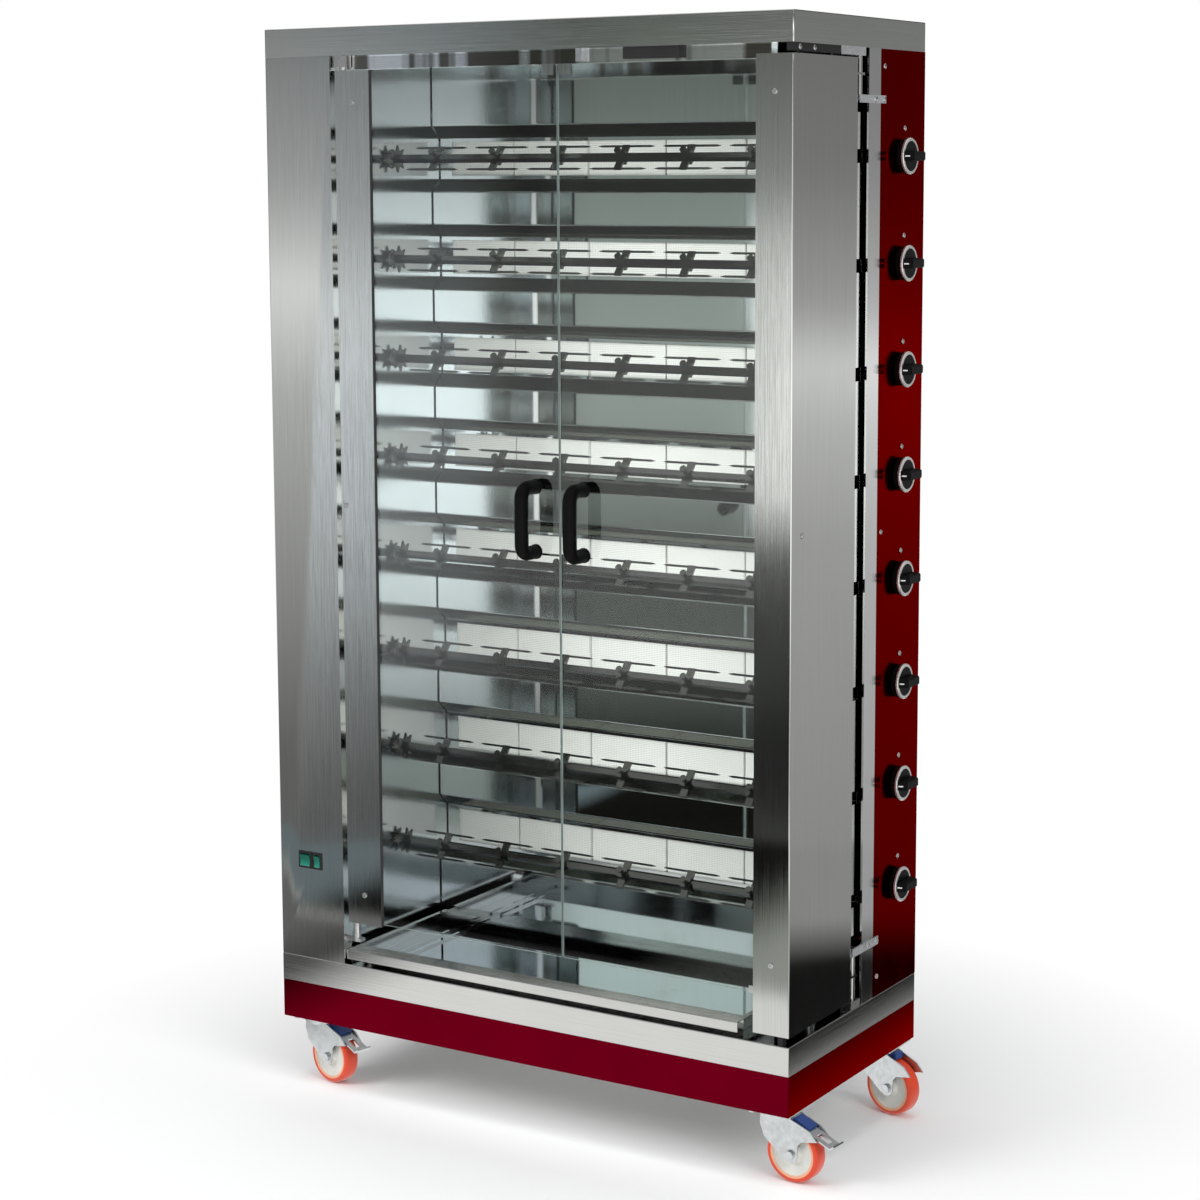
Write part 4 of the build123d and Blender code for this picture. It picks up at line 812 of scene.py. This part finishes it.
def chamberCard():
    # white card in front of the doors that lights the ceramic plates; no ray sees it
    left, right = (corner.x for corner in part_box("ceramic_plates"))
    low, high = (corner.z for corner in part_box("rear_reflector"))
    place = ((left + right) / 2, cabinet["front"] - 0.12, (low + high) / 2)
    card = areaLamp("ChamberCard", place, (place[0], 0, place[2]), (right - left, high - low), studio["cardPower"])
    card.visible_camera = False
    card.visible_transmission = False


studioWorld()
paleFloor()
areaLamp("KeySoftbox", (-2.6, -4.2, 3.6), (0, 0, 0.9), (2.4, 2.0), 150)
areaLamp("FillSoftbox", (3.8, -1.6, 2.6), (0, 0, 0.9), (2.0, 2.0), 70)
areaLamp("TopSoftbox", (0.2, -0.4, 4.2), (0, 0, 0), (2.6, 2.2), 60)
scene.view_settings.view_transform = "Standard"
chamberCard()
print("light and floor set")


# ---- cabinet sheet work
sheetPieces = {
    "base_plinth": ("RedPlinth", "red", 0.0012),
    "chassis_frame": ("ChassisChannel", "galvanised", 0.0008),
    "base_deck": ("DeckBand", "band", 0.0009),
    "roof_canopy": ("RoofCanopy", "canopy", 0.001),
    "ceiling_panel": ("CeilingPanel", "ceiling", 0.0004),
    "left_cabinet_cover": ("DriveCabinetCover", "casing", 0.0007),
    "inner_left_wall": ("InnerLeftWall", "wall", 0.0005),
    "rear_cover": ("RearCover", "galvanised", 0.0005),
    "red_control_panel": ("RedTapPanel", "red", 0.0006),
    "side_trim_strip": ("SideTrimStrip", "trim", 0.0006),
}
cabinetCorners = [(cabinet[x], cabinet[y]) for x in ("left", "right") for y in ("front", "back")]
folds = {
    "base_plinth": (0.002, cabinetCorners, None),
    "base_deck": (0.0015, cabinetCorners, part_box("base_deck")[1].z),
    "roof_canopy": (0.0018, cabinetCorners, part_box("roof_canopy")[1].z),
    "left_cabinet_cover": (0.0022, [(cabinet["left"], cabinet["front"])], None),
}
for nodeName, (pieceName, skin, width) in sheetPieces.items():
    piece = dress(nodeName, pieceName, "cabinet", skin, width)
    if nodeName in folds:
        roundFolds(piece, *folds[nodeName])


def traySkin(centre, size, face):
    inside = face.calc_center_median().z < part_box("drip_tray")[0].z + 0.012
    return "pan" if inside and face.normal.z > 0.7 else "tray"


def rightWallSkin(centre, size, face):
    return "casing" if face.calc_center_median().x > cabinet["right"] - 0.02 else "chamber"


dress("inner_right_wall", "InnerRightWall", "cabinet", rightWallSkin, 0.0004)
trayLow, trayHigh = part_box("drip_tray")
tray = dress("drip_tray", "DripTray", "tray", traySkin, 0.0006)
smoothByAngle(tray.data, 1)
roundFolds(tray, 0.003, [(trayLow.x, trayLow.y)], trayHigh.z)
print("sheet work dressed")


# ---- reflector
reflector = {"niche": 0.038, "slope": 0.0233, "sheet": 0.0015, "fold": 0.0025, "window": 0.062, "post": 0.028,
             "seam": 0.0025}


def burnerReflector():
    low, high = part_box("rear_reflector")
    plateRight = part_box("ceramic_plates")[1].x
    back = high.y - reflector["sheet"]
    half, outer = reflector["niche"], reflector["niche"] + reflector["slope"]
    rows = [cabinet["deck"] + cabinet["lowestSpit"] + cabinet["spitPitch"] * n for n in range(cabinet["spits"])]
    route = [(low.y, low.z)]
    for z in rows:
        route += [(low.y, z - outer), (back, z - half), (back, z + half), (low.y, z + outer)]
    route.append((low.y, high.z))
    x0 = low.x + reflector["seam"]
    mesh = bpy.data.meshes.new("ReflectorRoute")
    mesh.from_pydata([(x0, y, z) for y, z in route], [(k, k + 1) for k in range(len(route) - 1)], [])
    left, right = low.x + reflector["post"], plateRight + 0.0003
    piece = growMesh(sheetTree, {
        "Fold Radius": reflector["fold"], "Fold Steps": 4, "Width": high.x - low.x - reflector["seam"],
        "Sheet": reflector["sheet"], "Windows": cabinet["spits"], "Window Step": cabinet["spitPitch"],
        "Window Size": (right - left, 0.02, reflector["window"]), "First Window": ((left + right) / 2, back, rows[0]),
        "Flat Finish": finishes["chamber"], "Painted Shade Slope Finish": finishes["slope"]}, "BurnerReflector", mesh)
    smoothByAngle(piece.data, 30)
    flatten(piece)
    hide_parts("rear_reflector")
    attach(piece, "cabinet")


burnerReflector()
print("reflector made")


# ---- burners and gas
plateSizes = {"columns": 5, "step": 0.162, "length": 0.1596, "tall": 0.066, "corner": 0.0012, "play": 0.0005}


def ceramicPlates():
    low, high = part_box("ceramic_plates")
    length, tall, play = (plateSizes[key] for key in ("length", "tall", "play"))
    bm = bmesh.new()
    roundedBlock(bm, (length, high.y - low.y - 2 * play, tall - 2 * play), plateSizes["corner"])
    item = newPiece("PlateItem", plainMesh(bm, "PlateItem"))
    first = (low.x + length / 2, (low.y + high.y) / 2, low.z + tall / 2)
    plates = growMesh(repeatTree, {
        "Item": item, "Columns": plateSizes["columns"], "Column Step": (plateSizes["step"], 0, 0),
        "Rows": cabinet["spits"], "Row Step": (0, 0, cabinet["spitPitch"]), "First": first, "Play": play,
        "Seed": 11, "Finish": finishes["ceramic"]}, "CeramicPlates")
    bpy.data.objects.remove(item)
    smoothByAngle(plates.data, 35)
    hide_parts("ceramic_plates")
    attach(plates, "cabinet")


def tapSkin(centre, size, face):
    return "brass" if size.x < 0.05 and size.z < 0.04 else "screw"


ceramicPlates()
dress("burner_bodies", "BurnerBodies", "cabinet", "iron", 0.0008)
dress("gas_taps", "GasTaps", "cabinet", tapSkin, 0)
dress("gas_manifold", "GasManifold", "cabinet", "galvanised", 0)
print("burners and gas made")


# ---- drive
def bearingSkin(centre, size, face):
    return "bronze" if centre.x < midX else "spit"


def motorSkin(centre, size, face):
    return "galvanised" if size.y < 0.03 else "paint"


dress("drive_chains", "DriveChains", "cabinet", "chain", 0)
dress("spit_bearings", "SpitBearings", "cabinet", bearingSkin, 0.0005)
dress("gearmotor", "GearMotor", "cabinet", motorSkin, 0.001)


shaft = {"longest": 0.14, "reach": 0.16, "darkEnd": 0.126}


def spitSkin(centre, size, face):
    along = face.calc_center_median().x - cabinet["left"]
    if size.x < shaft["longest"] and centre.x < cabinet["left"] + shaft["reach"] and along < shaft["darkEnd"]:
        return "chain"
    return "spit"


for n in range(1, cabinet["spits"] + 1):
    dress(f"spit_{n}", f"Spit{n}", f"spit_{n}_turning", spitSkin, 0.0004)
print("drive and spits made")


# ---- doors
def stripSkin(centre, size, face):
    return "screw" if max(size) < 0.012 else "casing"


def glassSkin(centre, size, face):
    return "glass" if abs(face.normal.y) > 0.7 else "glassEdge"


dress("left_door_strip", "LeftDoorStrip", "left_door", stripSkin, 0.0005)
column = dress("right_door_column", "RightDoorColumn", "right_door", stripSkin, 0.0006)
roundFolds(column, 0.002, [(cabinet["right"], cabinet["front"])])
dress("left_door_glass", "LeftDoorGlass", "left_door", glassSkin, 0)
dress("right_door_glass", "RightDoorGlass", "right_door", glassSkin, 0)

paneEdgeStrip = {"inset": 0.073, "width": 0.0055, "proud": 0.0012}


def blackPaneEdgeStrip():
    # black strip on the left pane, along the steel strip's inner edge
    low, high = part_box("left_door_strip")
    bm = bmesh.new()
    roundedBlock(bm, (paneEdgeStrip["width"], paneEdgeStrip["proud"], high.z - low.z - 0.004), 0.0004)
    place = (low.x + paneEdgeStrip["inset"] + paneEdgeStrip["width"] / 2, cabinet["front"] + 0.0015 - paneEdgeStrip["proud"] / 2,
             (low.z + high.z) / 2)
    bmesh.ops.translate(bm, vec=place, verts=bm.verts)
    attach(finishedPiece(bm, "DoorGasket", ["matt"]), "left_door")


blackPaneEdgeStrip()
handle = {"grip": 0.012, "bend": 0.017, "boss": 0.013, "sides": 28, "bendSteps": 9}


def doorHandle(nodeName, pieceName, bodyName):
    low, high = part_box(nodeName)
    x = (low.x + high.x) / 2
    grip, bend, boss = handle["grip"], handle["bend"], handle["boss"]
    pane = cabinet["front"] + 0.0015
    yOut = low.y + grip
    yIn = pane - 0.0008
    zLow, zHigh = low.z + boss, high.z - boss
    route = [Vector((x, yIn, zLow))]
    for z, up in ((zLow, 1), (zHigh, -1)):
        arc = []
        for k in range(handle["bendSteps"] + 1):
            angle = math.pi / 2 * k / handle["bendSteps"]
            arc.append(Vector((x, yOut + bend * (1 - math.sin(angle)), z + up * bend * (1 - math.cos(angle)))))
        route += arc if up > 0 else arc[::-1]
    route.append(Vector((x, yIn, zHigh)))
    bm = bmesh.new()
    tube(bm, route, grip, handle["sides"])
    for z in (zLow, zHigh):
        matrix = Matrix.Translation((x, 0, z))
        before = set(bm.verts)
        profile = [(0.0003, pane), (boss, pane), (boss, pane - 0.0022), (boss - 0.0006, pane - 0.0034),
                   (boss - 0.0016, pane - 0.0042), (grip - 0.0005, pane - 0.0046), (0.0003, pane - 0.0046)]
        latheMesh(bm, profile, 28)
        inside = pane + 0.005
        nut = [(0.0003, inside), (0.008, inside), (0.008, inside + 0.003), (0.0065, inside + 0.0048),
               (0.0003, inside + 0.005)]
        latheMesh(bm, nut, 24)
        stem = [(0.0003, pane - 0.001), (0.004, pane - 0.001), (0.004, inside + 0.001), (0.0003, inside + 0.001)]
        latheMesh(bm, stem, 16)
        bmesh.ops.transform(bm, matrix=matrix, verts=[v for v in bm.verts if v not in before])
    piece = finishedPiece(bm, pieceName, ["gloss"], 40)
    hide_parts(nodeName)
    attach(piece, bodyName)


doorHandle("left_door_handle", "LeftDoorHandle", "left_door")
doorHandle("right_door_handle", "RightDoorHandle", "right_door")


def bracketSkin(centre, size, face):
    return "strap" if size.y > 0.05 and centre.x > midX else "screw"


def catchSkin(centre, size, face):
    return "zinc" if size.x < 0.02 and size.y < 0.02 and centre.z > cabinet["deck"] + 0.1 else "matt"


dress("hinge_brackets", "HingeBrackets", "cabinet", bracketSkin, 0.0005)
dress("door_catches", "DoorCatches", "cabinet", catchSkin, 0.0006)
print("doors made")


# ---- switches and knobs
dress("switch_housings", "SwitchHousings", "cabinet", "matt", 0.0005)
dress("wide_switch_rocker", "WideRocker", "wide_rocker", "green", 0.0006)
dress("narrow_switch_rocker", "NarrowRocker", "narrow_rocker", "green", 0.0006)


knob = {"base": 0.029, "ring": 0.031, "ringInner": 0.0255, "face": 0.0165, "ringDepth": 0.004, "barWidth": 0.017,
        "pointer": 0.002, "stem": 0.004, "teeth": 40}


def gasKnob(n):
    # turned body with a bright knurled ring, a tapered grip bar and a white line on its end
    nodeName = f"gas_knob_{n}"
    low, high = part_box(nodeName)
    side = cabinet["right"]
    centre = Vector((side, (low.y + high.y) / 2, (low.z + high.z) / 2))
    face, reach = knob["face"], high.x - side
    bm = bmesh.new()
    body = [(0.0003, 0.0006), (knob["base"] - 0.003, 0.0006), (knob["base"], 0.0035),
            (knob["base"], face - knob["ringDepth"]), (knob["ringInner"], face - knob["ringDepth"]),
            (knob["ringInner"], face - 0.0008), (knob["ringInner"] - 0.0008, face), (0.0003, face)]
    latheMesh(bm, body, 48)
    inner, outer, back = knob["ringInner"], knob["ring"], face - knob["ringDepth"]
    ring = [(inner, back), (outer, back), (outer, face - 0.0012), (outer - 0.0012, face + 0.0002),
            (inner, face + 0.0002)]
    before = set(bm.verts)
    latheMesh(bm, ring, 4 * knob["teeth"], 1)
    for vert in set(bm.verts) - before:
        tooth = round(math.atan2(vert.co.z, vert.co.x) / (2 * math.pi) * 4 * knob["teeth"]) % 4
        if tooth in (2, 3) and vert.co.xz.length > inner + 0.001:
            vert.co.x *= 0.985
            vert.co.z *= 0.985
    grip = bmesh.ops.create_cube(bm, size=1)["verts"]
    bmesh.ops.transform(bm, matrix=Matrix.Translation((0, (face + reach) / 2, 0)) @ Matrix.Diagonal(
        (0.056, reach - face + 0.001, knob["barWidth"], 1)), verts=grip)
    for vert in grip:
        if vert.co.y > face + 0.005:
            vert.co.x *= 0.82
            vert.co.z *= 0.86
    edges = list({edge for vert in grip for edge in vert.link_edges})
    bmesh.ops.bevel(bm, geom=edges, offset=0.0014, segments=3, affect="EDGES")
    before = set(bm.faces)
    line = bmesh.ops.create_cube(bm, size=1)["verts"]
    middle = (face + reach) / 2 - 0.002
    lean = Matrix.Rotation(math.atan2(0.18 * 0.028, reach - face), 4, "Z")
    shape = Matrix.Diagonal((0.0026, reach - face - 0.008, knob["pointer"], 1))
    bmesh.ops.transform(bm, matrix=Matrix.Translation((0.0268, middle, 0)) @ lean @ shape, verts=line)
    for item in set(bm.faces) - before:
        item.material_index = 2
    stem = [(0.0003, -0.012), (knob["stem"], -0.012), (knob["stem"], 0.001), (0.0003, 0.001)]
    latheMesh(bm, stem, 16)
    # local Y of the turned body looks along +X of the cabinet, the pointer looks to the front
    bmesh.ops.transform(bm, matrix=Matrix.Translation(centre) @ Matrix.Rotation(-math.pi / 2, 4, "Z"), verts=bm.verts)
    piece = finishedPiece(bm, f"GasKnob{n}", ["knob", "ring", "white"])
    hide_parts(nodeName)
    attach(piece, f"knob_{n}")


for n in range(1, cabinet["spits"] + 1):
    gasKnob(n)
print("switches and knobs made")


# ---- castors
wheel = {"radius": 0.05, "width": 0.03, "rim": 0.041, "turns": (-12, -4, -12, -12), "trail": 0.036, "steps": 64}


def titleOf(corner):
    return "".join(word.capitalize() for word in corner.split("_"))


def castorFrame(n):
    x = midX + (-1, 1, -1, 1)[n] * cabinet["castorX"]
    y = midY + (-1, -1, 1, 1)[n] * cabinet["castorY"]
    return Matrix.Translation((x, y, 0)) @ Matrix.Rotation(math.radians(wheel["turns"][n]), 4, "Z")


def castorWheel(n):
    half = wheel["width"] / 2
    r, rim = wheel["radius"], wheel["rim"]
    bm = bmesh.new()
    tread = [(rim + 0.001, -half), (r - 0.004, -half), (r - 0.0012, -half + 0.0022), (r, -half + 0.006)]
    peach = [(rim - 0.004, -half + 0.0012), (rim + 0.002, -half + 0.0004)]
    core = [(0.0052, -half - 0.0015), (0.0125, -half - 0.0015), (0.0135, -half + 0.001), (0.018, -half + 0.0055),
            (0.03, -half + 0.0062), (rim - 0.0055, -half + 0.003), (rim - 0.0028, -half + 0.0008)]
    for index, outline in enumerate((tread, peach, core)):
        # each outline is half of a profile that is the same on both sides
        latheMesh(bm, outline + [(size, -along) for size, along in reversed(outline)], wheel["steps"], index)
    bmesh.ops.transform(bm, matrix=castorFrame(n) @ Matrix.Translation((wheel["trail"], 0, r)), verts=bm.verts)
    piece = finishedPiece(bm, "Wheel" + titleOf(cornerNames[n]), ["orange", "peach", "nylon"])
    bevelled(piece, 0.0004)
    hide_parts(f"castor_wheel_{cornerNames[n]}")
    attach(piece, f"wheel_{cornerNames[n]}")


def forkSkin(centre, size, face):
    return "blue" if 0.0075 < size.z < 0.02 else "zinc"


def brakeSkin(centre, size, face):
    return "blue" if size.z < 0.032 else "zinc"


dress("castor_plates", "CastorPlates", "cabinet", "zinc", 0.0008)
for n, corner in enumerate(cornerNames):
    title = titleOf(corner)
    dress(f"castor_fork_{corner}", "Fork" + title, f"castor_{corner}", forkSkin, 0.0008)
    castorWheel(n)
    if corner.startswith("front"):
        dress(f"castor_brake_{corner}", "Brake" + title, f"brake_{corner}", brakeSkin, 0.0008)
print("castors made")


# ---- screws and small parts
screwShape = {"steps": 20, "radius": 0.0046, "height": 0.0022, "slot": 0.0009, "shank": 0.002, "length": 0.005}


def screwItem():
    # raised head with a straight slot, its seat at the origin
    r, h, slot = screwShape["radius"], screwShape["height"], screwShape["slot"]
    bm = bmesh.new()
    steps = screwShape["steps"]
    angles = [2 * math.pi * (n + 0.5) / steps for n in range(steps)]
    rim = [(math.cos(angle), math.sin(angle)) for angle in angles]
    levels = [(r, 0), (r, h * 0.45), (r * 0.93, h * 0.8), (r * 0.78, h)]
    rings = [[bm.verts.new((x * size, y * size, z)) for x, y in rim] for size, z in levels]
    for lower, upper in zip(rings, rings[1:]):
        joinRings(bm, lower, upper)
    top = bm.faces.new(rings[-1])
    bm.faces.new(rings[0][::-1])
    for offset, way in ((slot / 2, 1), (-slot / 2, -1)):
        bmesh.ops.bisect_plane(bm, geom=[top, *top.edges, *top.verts] if top.is_valid else bm.faces[:] + bm.edges[:],
                               plane_co=(0, offset, h), plane_no=(0, way, 0))
    bm.faces.ensure_lookup_table()
    strip = [f for f in bm.faces if f.normal.z > 0.9 and abs(f.calc_center_median().y) < slot / 4]
    walls = bmesh.ops.extrude_face_region(bm, geom=strip)
    bmesh.ops.delete(bm, geom=strip, context="FACES_ONLY")
    sunk = [item for item in walls["geom"] if isinstance(item, bmesh.types.BMVert)]
    bmesh.ops.translate(bm, vec=(0, 0, -h * 0.4), verts=sunk)
    shank = bmesh.ops.create_cone(bm, cap_ends=True, segments=10, radius1=screwShape["shank"] * 0.8,
                                  radius2=screwShape["shank"], depth=screwShape["length"])["verts"]
    bmesh.ops.translate(bm, vec=(0, 0, -screwShape["length"] / 2 + 0.0001), verts=shank)
    return newPiece("ScrewItem", plainMesh(bm, "ScrewItem"))


def screwPlaces(nodeName):
    # each screw of the CAD node: its seat and the way that its head faces
    bm = mergedCopy(nodeName)
    places = []
    for group in islandsOf(bm):
        centre, size = islandBox(group)
        if centre.z < cabinet["deck"] - 0.1:
            continue
        axis = min(range(3), key=lambda k: size[k])
        wide = [v.co for face in group for v in face.verts if (v.co - centre).length > screwShape["radius"] * 0.97]
        side = 1 if sum(p[axis] - centre[axis] for p in wide) > 0 else -1
        way = Vector([side if k == axis else 0 for k in range(3)])
        places.append((centre + way * (size[axis] / 2 - screwShape["height"]), way))
    bm.free()
    return places


def castorBolts():
    # the bolts and nuts under the deck, taken over from the CAD node
    bm = mergedCopy("fasteners")
    bmesh.ops.dissolve_limit(bm, angle_limit=math.radians(0.5), verts=bm.verts, edges=bm.edges)
    for group in islandsOf(bm):
        if islandBox(group)[0].z > cabinet["deck"] - 0.1:
            bmesh.ops.delete(bm, geom=group, context="FACES")
    bolts = finishedPiece(bm, "CastorBolts", ["zinc"])
    dropCustomNormals(bolts.data)
    bevelled(bolts, 0.0004)
    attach(bolts, "cabinet")


def cabinetScrews():
    item = screwItem()
    places = screwPlaces("fasteners")
    piece = growMesh(onPointsTree, {"Item": item, "Twist": 3.1, "Seed": 5, "Finish": finishes["screw"]},
                     "CabinetScrews", pointMesh("ScrewPlaces", places))
    bpy.data.objects.remove(item)
    smoothByAngle(piece.data, 35)
    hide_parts("fasteners")
    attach(piece, "cabinet")
    print("screws:", len(places))


cabinetScrews()
castorBolts()
dress("cable_gland", "CableGland", "cabinet", "matt", 0.0005)
print("small parts made")
